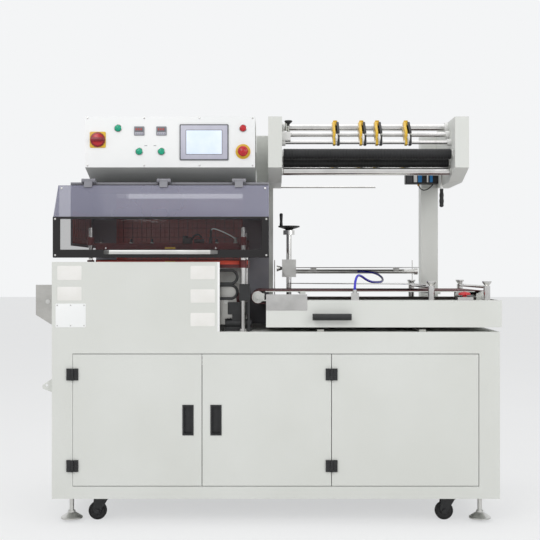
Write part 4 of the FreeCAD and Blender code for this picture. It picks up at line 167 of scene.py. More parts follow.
wave = {"pattern": "ShaderNodeTexWave", "patternSettings": {"bands_direction": "X", "Distortion": 0.0}}
cells = {"pattern": "ShaderNodeTexVoronoi"}
metal = {"Metallic": 1.0}
looks = {
    # polyester powder coat on folded sheet: warm grey, satin, with the fine dimples of orange peel
    "powderCoatGrey": {"colour": "#DADCD8", "second": "#D5D7D2", "blotch": 420, "grain": 2.2, "bump": 0.02,
                       "tint": 0.03, "rough": (0.36, 0.52)},
    # screen-printed control plate, near white and smooth
    "satinWhitePlate": {"colour": "#F3F4F4", "second": "#EEF0F0", "blotch": 300, "grain": 1.2, "bump": 0.006,
                        "tint": 0.02, "rough": (0.28, 0.38)},
    # brushed 304 stainless: fine lines along x that spread the highlight
    "brushedStainless": {"colour": "#C9C8C4", "second": "#B9B8B4", "blotch": 90, "grain": 0.9, "bump": 0.012,
                         "stretch": (0.04, 1, 1), "tint": 0.18, "rough": (0.22, 0.42), "surface": metal},
    # hard chromed bar: near mirror with faint turning marks
    "chromedBar": {"colour": "#DDDCDA", "second": "#CFCECC", "blotch": 60, "grain": 0.8, "bump": 0.003,
                   "stretch": (1, 0.2, 0.2), "tint": 0.06, "rough": (0.08, 0.2), "surface": metal},
    # drawn tube of bright aluminium, softer than chrome
    "satinAluminium": {"colour": "#D9D9D6", "second": "#CBCBC8", "blotch": 80, "grain": 0.7, "bump": 0.006,
                       "stretch": (0.1, 1, 1), "tint": 0.1, "rough": (0.28, 0.42), "surface": metal},
    # zinc plate with its bluish spangle
    "zincPlate": {"colour": "#B9B9B2", "second": "#A8AAA6", "blotch": 14, "grain": 5, "bump": 0.004,
                  "tint": 0.15, "rough": (0.35, 0.5), "surface": metal, **cells},
    # cast zinc hinge with a baked black coat, slightly pebbled
    "blackCastCoat": {"colour": "#17181A", "second": "#202123", "blotch": 30, "grain": 1.1, "bump": 0.03,
                      "tint": 0.2, "rough": (0.32, 0.5)},
    # moulded black nylon: fine spark-eroded grain
    "blackNylon": {"colour": "#141516", "second": "#1D1E20", "blotch": 24, "grain": 0.8, "bump": 0.02,
                   "tint": 0.2, "rough": (0.4, 0.58)},
    # ground nitrile rubber sleeve: grinding rings round the roller show as lines along x
    "groundNitrile": {"colour": "#0E0F11", "second": "#191A1D", "blotch": 50, "grain": 9, "bump": 0.15,
                      "tint": 0.55, "rough": (0.45, 0.7), "bumpStrength": 0.6, **wave},
    # moulded tyre rubber
    "tyreRubber": {"colour": "#111112", "second": "#1A1A1B", "blotch": 20, "grain": 1.6, "bump": 0.03,
                   "tint": 0.2, "rough": (0.5, 0.7)},
    # dark red belt with a fine weave on its top
    "wovenBelt": {"colour": "#5C2022", "second": "#4C181B", "blotch": 70, "grain": 2.4, "bump": 0.08,
                  "tint": 0.4, "rough": (0.55, 0.75), "pattern": "ShaderNodeTexChecker"},
    # baked fluoropolymer tape and dark red coat of the sealing jaws
    "jawCoat": {"colour": "#6B1417", "second": "#4E0D10", "blotch": 60, "grain": 1.8, "bump": 0.03,
                "tint": 0.2, "rough": (0.35, 0.5)},
    # smoked acrylic sheet: lets the chamber show through with a lavender veil
    "smokedAcrylic": {"colour": "#9494A8", "second": "#8C8CA0", "blotch": 400, "grain": 40, "bump": 0.0,
                      "tint": 0.02, "rough": (0.06, 0.12), "surface": {"Alpha": 0.55, "IOR": 1.49}},
    # gloss black border of the hood
    "blackEnamel": {"colour": "#0A0708", "second": "#100C0D", "blotch": 120, "grain": 3, "bump": 0.008,
                    "tint": 0.1, "rough": (0.15, 0.28)},
    # red guard: translucent polycarbonate behind a welded grid
    "redGuard": {"colour": "#C23A2C", "second": "#B03226", "blotch": 200, "grain": 38, "bump": 0.0,
                 "tint": 0.03, "rough": (0.3, 0.45), "surface": {"Alpha": 0.82}},
    "guardGrey": {"colour": "#8A8A90", "second": "#7D7D84", "blotch": 120, "grain": 2, "bump": 0.02,
                  "tint": 0.06, "rough": (0.4, 0.55)},
    # injection-moulded signal colours: gloss with a soft edge to the highlight
    "redMoulding": {"colour": "#C4242C", "second": "#B51D26", "blotch": 18, "grain": 0.8, "bump": 0.006,
                    "tint": 0.05, "rough": (0.18, 0.3)},
    "darkRedMoulding": {"colour": "#8C1F2B", "second": "#7C1824", "blotch": 18, "grain": 0.8, "bump": 0.006,
                        "tint": 0.05, "rough": (0.2, 0.32)},
    "yellowMoulding": {"colour": "#E2B92E", "second": "#D6AA22", "blotch": 24, "grain": 0.8, "bump": 0.006,
                       "tint": 0.06, "rough": (0.28, 0.42)},
    "greenLens": {"colour": "#18B08A", "second": "#0F9C79", "blotch": 12, "grain": 1.4, "bump": 0.02,
                  "tint": 0.1, "rough": (0.1, 0.2), **cells},
    "whiteMoulding": {"colour": "#ECECEA", "second": "#E0E0DE", "blotch": 24, "grain": 0.8, "bump": 0.006,
                      "tint": 0.05, "rough": (0.3, 0.42)},
    "greyMoulding": {"colour": "#6D6F74", "second": "#63656A", "blotch": 30, "grain": 0.8, "bump": 0.01,
                     "tint": 0.08, "rough": (0.35, 0.5)},
    "bluePlastic": {"colour": "#2C7FC0", "second": "#2470B0", "blotch": 20, "grain": 0.8, "bump": 0.006,
                    "tint": 0.06, "rough": (0.25, 0.4)},
    # polyurethane tube: bright, slightly waxy
    "bluePolyurethane": {"colour": "#2A1FC8", "second": "#2418B0", "blotch": 40, "grain": 1.0, "bump": 0.004,
                         "tint": 0.05, "rough": (0.18, 0.3), "surface": {"Coat Weight": 0.3}},
    # display glass, lit from behind a little
    "paleDisplay": {"colour": "#DDE6F2", "second": "#CFDCEC", "blotch": 80, "grain": 6, "bump": 0.0,
                    "tint": 0.03,
                    "rough": (0.08, 0.14), "surface": {"Emission Color": linear("#DCE6F4"),
                                                        "Emission Strength": 0.25}},
    # anodised front ring of the touch screen: silver with a cool lavender cast
    "bezelSilver": {"colour": "#C3C3D0", "second": "#B9B9C8", "blotch": 60, "grain": 0.8, "bump": 0.004,
                    "tint": 0.04, "rough": (0.25, 0.35)},
    "meterCase": {"colour": "#8E8F94", "second": "#85868C", "blotch": 20, "grain": 0.8, "bump": 0.006,
                  "tint": 0.05, "rough": (0.3, 0.42)},
    "meterDigits": {"colour": "#B8382E", "second": "#A83028", "blotch": 8, "grain": 0.8, "bump": 0.0,
                    "tint": 0.03, "rough": (0.3, 0.4)},
    # clear side of the smoked sheet, seen through the window: only a slight brown veil
    "clearSmoke": {"colour": "#2A1E20", "second": "#241A1C", "blotch": 400, "grain": 40, "bump": 0.0,
                   "tint": 0.02,
                   "rough": (0.05, 0.1), "surface": {"Alpha": 0.28, "IOR": 1.49}},
    # welded wire of the guard, coated dark red
    "guardWire": {"colour": "#6E2A26", "second": "#612420", "blotch": 60, "grain": 1.5, "bump": 0.02,
                  "tint": 0.1,
                  "rough": (0.35, 0.5)},
    # orange-red fluoropolymer tape on the lower jaw's edge
    "orangeTape": {"colour": "#D8482E", "second": "#C83E26", "blotch": 40, "grain": 1.2, "bump": 0.02,
                   "tint": 0.1,
                   "rough": (0.4, 0.55)},
    # self-adhesive plastic plates, left blank
    "blankPlate": {"colour": "#ECEBE8", "second": "#E6E5E1", "blotch": 60, "grain": 0.9, "bump": 0.004,
                   "tint": 0.04, "rough": (0.3, 0.42)},
    # phenolic end cap, reddish brown
    "brownCap": {"colour": "#5A2E22", "second": "#4E271D", "blotch": 14, "grain": 1.0, "bump": 0.01,
                 "tint": 0.1,
                 "rough": (0.3, 0.45)},
    "brassFitting": {"colour": "#B98F46", "second": "#A67E3A", "blotch": 12, "grain": 0.8, "bump": 0.006,
                     "tint": 0.1, "rough": (0.2, 0.35), "surface": metal},
}
materials = {name: makeMaterial(name, look) for name, look in looks.items()}
hoseCurve.materials.append(materials["bluePolyurethane"])

nodeFinish = {
    "powderCoatGrey": ["cabinet_frame", "cabinet_cover_panels", "door_left", "door_right", "seal_unit_casing",
                       "film_columns", "film_side_plates", "control_box", "infeed_tray"],
    "zincPlate": ["electrical_gear", "infeed_slide_rails"],
    "blackCastCoat": ["hinge_frame_leaves", "caster_mounts", "door_left_fittings", "door_right_fittings",
                      "caster_fork_front_left", "caster_fork_front_right"],
    "chromedBar": ["jaw_columns", "film_tie_rods", "opener_post", "idler_roller_upper", "idler_roller_lower",
                   "infeed_fittings"],
    "jawCoat": ["lower_jaw", "upper_jaw"],
    "brushedStainless": ["outfeed_bed"],
    "wovenBelt": ["outfeed_belt", "infeed_belt"],
    "guardGrey": ["chamber_guard"],
    "redGuard": ["guard_mesh"],
    "blackNylon": ["film_drive_unit", "infeed_pull_handle", "handwheel", "tension_lever", "bay_drive"],
    "satinWhitePlate": ["control_fascia"],
    "greyMoulding": ["panel_instruments"],
    "smokedAcrylic": ["hood_glazing"],
    "blackEnamel": ["hood_frame"],
    "satinAluminium": ["infeed_head_roller", "infeed_tail_roller", "outfeed_head_roller",
                       "outfeed_tail_roller",
                       "opener_carriage", "levelling_feet"],
    "groundNitrile": ["rubber_roller_front", "rubber_roller_rear"],
    "redMoulding": ["main_switch_knob", "stop_mushroom_panel", "stop_mushroom_infeed", "stop_button"],
    "greenLens": ["start_button", "heater_button_a", "heater_button_b"],
    "tyreRubber": ["caster_wheel_front_left", "caster_wheel_front_right", "caster_wheel_rear_left",
                   "caster_wheel_rear_right"],
    "yellowMoulding": ["film_perforators"],
}
for finish, nodes in nodeFinish.items():
    for node in nodes:
        surface = frame["nodes"][node].data.materials
        surface.clear()
        surface.append(materials[finish])
print("materials:", len(materials))

# surfaces worked out with numpy, in millimetres

def loft(rings, closed=True, capped=True):
    # rings of equal length joined one to the next; the first and last ring are closed by a face each
    rings = np.asarray(rings, float)
    count, around = rings.shape[:2]
    index = np.arange(count * around).reshape(count, around)
    after = np.roll(index, -1, axis=1) if closed else index[:, 1:]
    here = index if closed else index[:, :-1]
    quads = np.stack([here[:-1], after[:-1], after[1:], here[1:]], axis=-1).reshape(-1, 4).tolist()
    if capped:
        quads += [index[0][::-1].tolist(), index[-1].tolist()]
    return rings.reshape(-1, 3), quads


def swing(flat, axis):
    # (a, b, c) with c along the named axis: a and b lie along the two others in the order x, y, z
    a, b, c = flat[..., 0], flat[..., 1], flat[..., 2]
    return np.stack({"X": (c, a, b), "Y": (a, c, b), "Z": (a, b, c)}[axis], axis=-1)


def turned(profile, centre, axis="Z", steps=40):
    # each point (r, h) of the profile goes round the axis: (r cos t, r sin t, h), t from 0 to a full turn
    profile = np.asarray(profile, float)
    t = np.linspace(0, 2 * np.pi, steps, endpoint=False)
    flat = np.stack([profile[:, :1] * np.cos(t), profile[:, :1] * np.sin(t),
                     np.repeat(profile[:, 1:], steps, axis=1)], axis=-1)
    return loft(swing(flat, axis) + np.asarray(centre, float), capped=False)


def roundedOutline(width, height, radius, steps=6):
    # a quarter circle of the radius at each corner, corner centres at half the size less the radius
    t = np.linspace(0, np.pi / 2, steps)
    corners = [(1, 1, 0), (-1, 1, 1), (-1, -1, 2), (1, -1, 3)]
    parts = [np.stack([sx * (width / 2 - radius) + radius * np.cos(t + turn * np.pi / 2),
                       sy * (height / 2 - radius) + radius * np.sin(t + turn * np.pi / 2)], axis=-1)
             for sx, sy, turn in corners]
    return np.concatenate(parts)


def ringOutline(radius, steps=32, ripple=0.0, teeth=0):
    # radius times (1 + ripple cos(teeth t)) at angle t
    t = np.linspace(0, 2 * np.pi, steps, endpoint=False)
    r = radius * (1 + ripple * np.cos(teeth * t))
    return np.stack([r * np.cos(t), r * np.sin(t)], axis=-1)


def inset(outline, distance):
    # each point moves along the mean of its two edges' inward normals, lengthened at the corners
    outline = np.asarray(outline, float)
    ahead, back = np.roll(outline, -1, axis=0) - outline, outline - np.roll(outline, 1, axis=0)
    normals = []
    for edge in (ahead, back):
        size = np.maximum(np.hypot(edge[:, 0], edge[:, 1]), 1e-9)[:, None]
        normals.append(np.stack([-edge[:, 1], edge[:, 0]], axis=-1) / size)
    middle = normals[0] + normals[1]
    middle /= np.maximum(np.hypot(middle[:, 0], middle[:, 1]), 1e-9)[:, None]
    stretch = 1 / np.maximum((middle * normals[0]).sum(axis=1), 0.4)
    return outline + middle * (distance * stretch)[:, None]


def prism(outline, low, high, centre=(0, 0), axis="Y", bevel=1.0, both=True):
    # the outline is carried from low to high; its edges are rounded by quarter circles of the bevel
    outline = np.asarray(outline, float)
    area = (outline[:, 0] * np.roll(outline[:, 1], -1) - outline[:, 1] * np.roll(outline[:, 0], -1)).sum()
    outline = outline if area > 0 else outline[::-1]
    turns = np.linspace(0, np.pi / 2, 4) if bevel else np.array([np.pi / 2])
    start = [(bevel * (1 - math.sin(t)), low + bevel * (1 - math.cos(t))) for t in turns] if both else [(0.0, low)]
    end = [(bevel * (1 - math.sin(t)), high - bevel * (1 - math.cos(t))) for t in turns[::-1]]
    rings = []
    for gap, height in start + end:
        ring = inset(outline, gap) + np.asarray(centre, float)
        rings.append(np.column_stack([ring, np.full(len(ring), height)]))
    return loft(swing(np.array(rings), axis))


def slab(x, y, z, bevel=1.0, corner=0.0, axis="Y"):
    # a bar or plate between limits in x, y, z with rounded edges
    limits = {"X": (y, z, x), "Y": (x, z, y), "Z": (x, y, z)}[axis]
    width, height = limits[0][1] - limits[0][0], limits[1][1] - limits[1][0]
    shape = roundedOutline(width, height, corner or min(bevel, width / 2.2, height / 2.2), 5 if corner else 3)
    centre = (sum(limits[0]) / 2, sum(limits[1]) / 2)
    bevel = min(bevel, (limits[2][1] - limits[2][0]) / 2.2, width / 2.2, height / 2.2)
    return prism(shape, *limits[2], centre, axis, bevel)


def tube(path, radius, steps=14, capped=True):
    # circles carried along the path, each in the plane square to the path's direction there;
    # the frame is turned from one point to the next without twist
    path = np.asarray(path, float)
    radius = np.broadcast_to(radius, len(path))
    along = np.gradient(path, axis=0)
    along /= np.linalg.norm(along, axis=1)[:, None]
    side = np.cross(along[0], (0, 0, 1) if abs(along[0][2]) < 0.9 else (1, 0, 0))
    side /= np.linalg.norm(side)
    t = np.linspace(0, 2 * np.pi, steps, endpoint=False)[:, None]
    rings = []
    for point, direction, r in zip(path, along, radius):
        side = side - direction * side.dot(direction)
        side /= np.linalg.norm(side)
        rings.append(point + r * (np.cos(t) * side + np.sin(t) * np.cross(direction, side)))
    return loft(rings, capped=capped)


def smoothPath(points, steps=12):
    # Catmull-Rom curve through the points: each span is a cubic of its four neighbours
    points = np.asarray(points, float)
    ends = np.vstack([2 * points[0] - points[1], points, 2 * points[-1] - points[-2]])
    t = np.linspace(0, 1, steps, endpoint=False)[:, None]
    spans = []
    for a, b, c, d in zip(ends, ends[1:], ends[2:], ends[3:]):
        spans.append(0.5 * (2 * b + (c - a) * t + (2 * a - 5 * b + 4 * c - d) * t ** 2
                            + (3 * b - a - 3 * c + d) * t ** 3))
    return np.vstack([*spans, points[-1:]])


def screwHead(x, y, z, radius=4.0, axis="Y", toward=-1):
    # a pan head: its height falls off with the square of the radius, with a hex socket sunk in the middle
    rise = radius * 0.55
    profile = [(0, 0.2), (radius * 0.42, 0.2), (radius * 0.45, rise), (radius * 0.7, rise * 0.95),
               (radius * 0.92, rise * 0.6), (radius, 0.0)]
    return turned([(r, toward * h) for r, h in profile], (x, y, z), axis, 18)


def makePiece(name, parts, standsFor=None, body=None, sharp=35):
    # parts: (surface, finish) pairs, each surface a pair of points in mm and faces
    points, faces, finishes, offset = [], [], [], 0
    names = list(dict.fromkeys(finish for _, finish in parts))
    for (verts, polygons), finish in parts:
        points.append(verts)
        faces += [[corner + offset for corner in polygon] for polygon in polygons]
        finishes += [names.index(finish)] * len(polygons)
        offset += len(verts)
    mesh = bpy.data.meshes.new(name)
    mesh.from_pydata((np.vstack(points) / 1000).tolist(), [], faces)
    mesh.polygons.foreach_set("material_index", finishes)
    for finish in names:
        mesh.materials.append(materials[finish])
    tidy = bmesh.new()
    tidy.from_mesh(mesh)
    bmesh.ops.remove_doubles(tidy, verts=tidy.verts, dist=2e-6)
    bmesh.ops.recalc_face_normals(tidy, faces=tidy.faces)
    tidy.to_mesh(mesh)
    tidy.free()
    mesh.shade_smooth()
    mesh.set_sharp_from_angle(angle=math.radians(sharp))
    thing = bpy.data.objects.new(name, mesh)
    scene.collection.objects.link(thing)
    replaced = [standsFor] if isinstance(standsFor, str) else list(standsFor or [])
    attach(thing, body or bodyOf[replaced[0]])
    if replaced:
        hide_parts(*replaced)
    return thing


# control panel

fascia = nodeBox("control_fascia")
switch = nodeBox("main_switch_knob")
panel = {
    "face": fascia[2], "screwInset": 7, "screwRadius": 3.6,
    "buttons": {"start_button": "greenLens", "heater_button_a": "greenLens", "heater_button_b": "greenLens",
                "stop_button": "redMoulding"},
    "screen": (-324.5, -141.5, 1320, 1455), "meters": (-475.5, -392.5), "meterRow": (1413, 1447),
    "meterWidth": 39, "switchPlate": 30, "stopDisc": 28,
}
face = panel["face"]
parts = []
for x in (fascia[0] + 9, -457, -250, fascia[1] - 9):
    for z in (fascia[4] + panel["screwInset"], fascia[5] - panel["screwInset"]):
        parts.append((screwHead(x, face, z, panel["screwRadius"]), "chromedBar"))
# two short engraved rules above and between the heater buttons: no lettering
for x in (-456, -422):
    parts.append((slab((x, x + 10), (face - 0.25, face), (1374, 1376), 0.1), "greyMoulding"))
makePiece("fasciaScrews", parts, body="machine_frame")

# touch screen: a dark edge, a lavender-silver bezel with rounded corners and a recessed pale glass
x0, x1, z0, z1 = panel["screen"]
middle = ((x0 + x1) / 2, (z0 + z1) / 2)
parts = [(prism(roundedOutline(x1 - x0, z1 - z0, 4), face - 4.6, face, middle, "Y", 1.2), "greyMoulding"),
         (prism(roundedOutline(x1 - x0 - 9, z1 - z0 - 9, 3), face - 5.0, face - 4, middle, "Y", 0.4),
          "bezelSilver"),
         (prism(roundedOutline(x1 - x0 - 46, z1 - z0 - 42, 2), face - 5.3, face - 4.4, middle, "Y", 0.2),
          "greyMoulding"),
         (prism(roundedOutline(x1 - x0 - 50, z1 - z0 - 46, 1.5), face - 5.45, face - 4.6, middle, "Y", 0.15),
          "paleDisplay")]
for x in panel["meters"]:
    low, high = panel["meterRow"]
    half = panel["meterWidth"] / 2
    centre = (x, (low + high) / 2)
    parts += [(prism(roundedOutline(2 * half, high - low, 3), face - 3.6, face, centre, "Y", 0.9),
               "meterCase"),
              (slab((x - half + 4, x + half - 4), (face - 4.1, face - 3), (low + 14, high - 4), 0.4),
               "greyMoulding"),
              (slab((x - half + 4, x + half - 4), (face - 3.9, face - 3), (low + 3.5, low + 11), 0.3),
               "bezelSilver")]
    for index in range(4):
        at = x - half + 8.5 + index * 7.4
        parts.append((turned([(0, face - 4.6), (1.9, face - 4.6), (2.2, face - 3.8)], (at, 0, low + 7.2), "Y",
                             12),
                      "greyMoulding"))
    for index in range(3):
        at = x - half + 9 + index * 9
        parts.append((slab((at - 2.4, at + 2.4), (face - 4.25, face - 4), (high - 15, high - 7), 0.1),
                      "meterDigits"))
# rotary switch's yellow square plate, and the collars of the buttons
sx, sz = (switch[0] + switch[1]) / 2, (switch[4] + switch[5]) / 2
parts.append((prism(roundedOutline(60, 60, 5), face - 3, face, (sx, sz), "Y", 0.8), "yellowMoulding"))
for name in panel["buttons"]:
    b = nodeBox(name)
    at = ((b[0] + b[1]) / 2, 0, (b[4] + b[5]) / 2)
    parts.append((turned([(12.3, face), (12.3, face - 2.6), (13.2, face - 3), (14.2, face - 2.6),
                          (15, face - 1.2),
                          (15, face)], at, "Y", 36), "chromedBar"))
b = nodeBox("stop_mushroom_panel")
at = ((b[0] + b[1]) / 2, 0, (b[4] + b[5]) / 2)
parts.append((turned([(9, face), (9, face - 1.8), (26.5, face - 1.8), (28, face - 1.2), (28, face)], at, "Y",
                     48),
              "yellowMoulding"))
makePiece("panelInstruments", parts, "panel_instruments")

for name, finish in panel["buttons"].items():
    b = nodeBox(name)
    at = ((b[0] + b[1]) / 2, 0, (b[4] + b[5]) / 2)
    y = b[2]
    makePiece(name.replace("_", "") + "Lens", [
        (turned([(0, y), (6, y + 0.15), (9.4, y + 0.9), (11.2, y + 2.2), (12, y + 4), (12, y + 5.4),
                 (8, y + 5.6),
                 (8, b[3]), (0, b[3])], at, "Y", 40), finish),
        (turned([(7.0, y + 0.6), (7.6, y - 0.05), (8.4, y + 0.25), (8.7, y + 1.1)], at, "Y", 40), finish)],
        name)


def mushroomCap(name, finish):
    # domed cap: the height falls as the square of the radius, with a rolled edge and a slim stem
    b = nodeBox(name)
    upright = name == "stop_mushroom_infeed"
    radius = (b[1] - b[0]) / 2
    if upright:
        at, top, foot, sign, axis = ((b[0] + b[1]) / 2, (b[2] + b[3]) / 2, 0), b[5], b[4], -1, "Z"
    else:
        at, top, foot, sign, axis = ((b[0] + b[1]) / 2, 0, (b[4] + b[5]) / 2), b[2], b[3], 1, "Y"
    r = np.linspace(0, radius * 0.94, 9)
    dome = [(v, top + sign * 6.5 * (v / radius) ** 2) for v in r]
    edge = [(radius, top + sign * 8), (radius, top + sign * 12), (radius * 0.96, top + sign * 12.9),
            (radius * 0.6, top + sign * 13.7), (8, top + sign * 14.4), (8, foot), (0, foot)]
    arrows = []
    for turn in (0, 2.094, 4.189):
        t = np.linspace(turn, turn + 1.2, 10)
        ring = radius * 0.55
        lift = top + sign * (6.5 * 0.3025 - 0.12)
        flat = np.stack([ring * np.cos(t), ring * np.sin(t), np.full(10, lift)], axis=-1)
        arrows.append((tube(swing(flat, axis) + np.array(at), 0.55, 6), "darkRedMoulding"))
    makePiece(name.replace("_", "") + "Cap", [(turned(dome + edge, at, axis, 44), finish), *arrows], name)


mushroomCap("stop_mushroom_panel", "redMoulding")
mushroomCap("stop_mushroom_infeed", "redMoulding")

# rotary main switch: fluted dark red disc with a raised bar grip across it
y0, y1 = switch[2], switch[3]
grip = np.array([(-22, -7), (22, -7), (25, -4), (25, 4), (22, 7), (-22, 7), (-25, 4), (-25, -4)], float)
makePiece("mainSwitchKnob", [
    (prism(ringOutline(28, 96, 0.02, 16), y0 + 14, y1 - 16, (sx, sz), "Y", 2.0), "darkRedMoulding"),
    (turned([(0, y0 + 9), (19, y0 + 9), (22, y0 + 11), (23, y0 + 15)], (sx, 0, sz), "Y", 48), "redMoulding"),
    (prism(grip, y0, y0 + 14, (sx, sz), "Y", 2.0), "darkRedMoulding"),
    (slab((sx + 10, sx + 22), (y0 + 0.2, y0 + 2), (sz - 1.2, sz + 1.2), 0.2), "whiteMoulding"),
    (turned([(0, y1), (8, y1), (8, y1 - 17)], (sx, 0, sz), "Y", 24), "blackNylon")],
    "main_switch_knob")
print("control panel done")

# hood, chamber guard and jaws

def frameRing(outer, hole, low, high, centre=(0, 0), axis="Y", bevel=1.2):
    # two outlines with the same count of points, joined front and back, the outer edges rounded
    outer, hole = np.asarray(outer, float), np.asarray(hole, float)
    rings = [(inset(outer, bevel), low), (outer, low + bevel), (outer, high - bevel),
             (inset(outer, bevel), high),
             (inset(hole, -bevel), high), (hole, high - bevel), (hole, low + bevel),
             (inset(hole, -bevel), low),
             (inset(outer, bevel), low)]
    flat = np.array([np.column_stack([ring + np.asarray(centre, float), np.full(len(ring), h)])
                     for ring, h in rings])
    return loft(swing(flat, axis), capped=False)


glazing = nodeBox("hood_glazing")
hood = {"left": glazing[0], "right": glazing[1], "low": 954, "bend": 1101, "sheet": 4, "sideBand": 26,
        "lowBand": 29, "topBand": 8, "faceBack": -367, "slantEnd": (-278, 1221), "axis": (-273, 1238),
        "grip": (-580.5, -173.5), "hinges": (-653.5, -377, -100.5)}
left, right, low, bend = hood["left"], hood["right"], hood["low"], hood["bend"]
endY, endZ = hood["slantEnd"]
yBack = hood["faceBack"]
# slanted sheet: two straight runs joined by a 10 mm bend, carried along x
bendTurn = np.linspace(0, math.radians(36.6), 7)
outerLine = [(yBack + 10 * (1 - math.cos(t)), bend - 6 + 10 * math.sin(t)) for t in bendTurn]
innerLine = [(yBack + 4 + 7 * (1 - math.cos(t)), bend - 8 + 7 * math.sin(t)) for t in bendTurn]
sheetOutline = [(yBack, bend - 8), *outerLine, (endY, endZ), (endY + 3.2, endZ - 2.4), *innerLine[::-1],
                (yBack + 4, bend - 9)]
makePiece("hoodSlantedSheet", [(prism(sheetOutline, left, right, axis="X", bevel=0.4), "smokedAcrylic")],
          body="hood")
parts = [(slab((left, right), (yBack, yBack + 4), (low, bend - 9), 0.5), "clearSmoke")]
for x in (left, right - 4):
    cheek = [(yBack + 4.2, low), (yBack + 4.2, bend - 8), (endY - 1, endZ - 4), (endY, bend - 60),
             (-331, low)]
    parts.append((prism(cheek, x, x + 4, axis="X", bevel=0.5), "smokedAcrylic"))
for x in hood["hinges"]:
    lug = [(endY - 9, endZ - 8), (endY - 1, endZ - 1), (hood["axis"][0] + 7, hood["axis"][1] - 2),
           (hood["axis"][0] + 4, hood["axis"][1] + 6.5), (hood["axis"][0] - 5, hood["axis"][1] + 6)]
    parts.append((prism(lug, x - 15, x + 15, axis="X", bevel=0.8), "guardGrey"))
    parts.append((turned([(4.2, x - 15), (7.8, x - 15), (7.8, x + 15), (4.2, x + 15), (4.2, x - 15)],
                         (0, *hood["axis"]), "X", 28), "guardGrey"))
makePiece("hoodWindow", parts, "hood_glazing")

centre = ((left + right) / 2, (low + bend) / 2)
outerShape = roundedOutline(right - left, bend - low, 3)
holeWidth, holeHeight = right - left - 2 * hood["sideBand"], bend - low - hood["lowBand"] - hood["topBand"]
holeShape = roundedOutline(holeWidth, holeHeight, 3) + np.array([0, (hood["lowBand"] - hood["topBand"]) / 2])
gripLeft, gripRight = hood["grip"]
gripOutline = [(gripLeft, -375), (gripLeft + 24, -409), (gripRight - 24, -409), (gripRight, -375),
               (gripRight - 14, -375), (gripRight - 32, -401), (gripLeft + 32, -401), (gripLeft + 14, -375)]
parts = [(frameRing(outerShape, holeShape, -375, yBack, centre), "blackEnamel"),
         (prism(gripOutline, 966, 981, axis="Z", bevel=2.6), "satinAluminium")]
for x in (left + 9, right - 9):
    for z in (low + 9, bend - 9):
        parts.append((screwHead(x, -375, z, 4.2), "chromedBar"))
for x in (gripLeft + 7, gripRight - 7):
    parts.append((screwHead(x, -375, 988, 3.2), "chromedBar"))
makePiece("hoodBorderAndGrip", parts, "hood_frame")
slope = (endY - yBack, endZ - bend)
parts = []
# the screws sit nine tenths of the way up the slanted sheet, laid over to its own normal
share = 0.9
turn = math.atan2(slope[1], slope[0])
y, z = yBack + slope[0] * share, bend + slope[1] * share
for x in (left + 14, right - 14):
    points, faces = turned([(0, 0.3), (1.8, 0.3), (2, 2), (3.6, 1.6), (4.4, 0)], (0, 0, 0), "Z", 18)
    laid = np.stack([points[:, 0] + x, y + points[:, 1] * math.cos(turn) - points[:, 2] * math.sin(turn),
                     z + points[:, 1] * math.sin(turn) + points[:, 2] * math.cos(turn)], axis=-1)
    parts.append(((laid, faces), "chromedBar"))
makePiece("hoodSheetScrews", parts, body="hood")

# red guard: a translucent sheet with a welded grid of 38 mm in front of it
guard = {"left": -620.5, "right": -99.5, "low": 940, "high": 1205, "face": 185, "pitch": 38, "bar": 2.4}
parts = [(slab((guard["left"], guard["right"]), (guard["face"], guard["face"] + 2),
               (guard["low"], guard["high"]),
               0.3), "redGuard")]
for index in range(int((guard["right"] - guard["left"]) / guard["pitch"] * 2)):
    x = guard["left"] + guard["pitch"] / 2 * (index + 0.5)
    thick = 1.2 if index % 2 else 0.7
    parts.append((tube([(x, guard["face"] - 1.3, guard["low"]), (x, guard["face"] - 1.3, guard["high"])],
                       thick, 8),
                  "guardWire"))
for index in range(int((guard["high"] - guard["low"]) / guard["pitch"] * 2)):
    z = guard["low"] + guard["pitch"] / 2 * (index + 0.5)
    thick = 1.2 if index % 2 else 0.7
    parts.append((tube([(guard["left"], guard["face"] - 1.3, z), (guard["right"], guard["face"] - 1.3, z)],
                       thick, 8),
                  "guardWire"))
# exit side: the same sheet and grid, turned to face along x
parts.append((slab((-718.5, -716.5), (-238, 142), (1010, 1131), 0.3, axis="X"), "redGuard"))
for index in range(10):
    y = -238 + guard["pitch"] * (index + 0.5)
    if y < 142:
        parts.append((tube([(-716, y, 1010), (-716, y, 1131)], 1.0, 8), "guardWire"))
for z in (1030, 1068, 1106):
    parts.append((tube([(-716, -238, z), (-716, 142, z)], 1.0, 8), "guardWire"))
makePiece("redGuardPanels", parts, "guard_mesh")

# upper jaw's fittings: carrier bolts, a yellow depth tag, air elbows and their small cylinder
jawFit = {"boltRow": (-600, -491, -415, -180), "tag": (-367, -329), "top": 1005}
parts = []
for x in jawFit["boltRow"]:
    parts += [(prism(ringOutline(7, 6), 1004.6, 1010, (x, -315), "Z", 0.6), "zincPlate"),
              (turned([(0, 1022), (3.4, 1022), (4, 1020.8), (4, 1010)], (x, -315, 0), "Z", 20), "blackNylon")]
parts.append((slab((-367, -329), (-330.6, -330), (986, 993), 0.2), "yellowMoulding"))
parts.append((prism(roundedOutline(34, 24, 5), 1005, 1027, (-287, -315), "Z", 2), "blackNylon"))
parts.append((turned([(0, 1034), (8, 1034), (9.5, 1032), (9.5, 1020)], (-295, -315, 0), "Z", 26),
              "blackNylon"))
parts.append((turned([(0, -262), (7, -262), (8, -260), (8, -235), (10, -233), (10, -226), (0, -226)],
                     (0, -315, 1014), "X", 24), "blackNylon"))
parts.append((tube(smoothPath([(-270, -315, 1018), (-262, -316, 1034), (-246, -317, 1038),
                               (-234, -316, 1026)], 8),
                   3, 10), "blackNylon"))
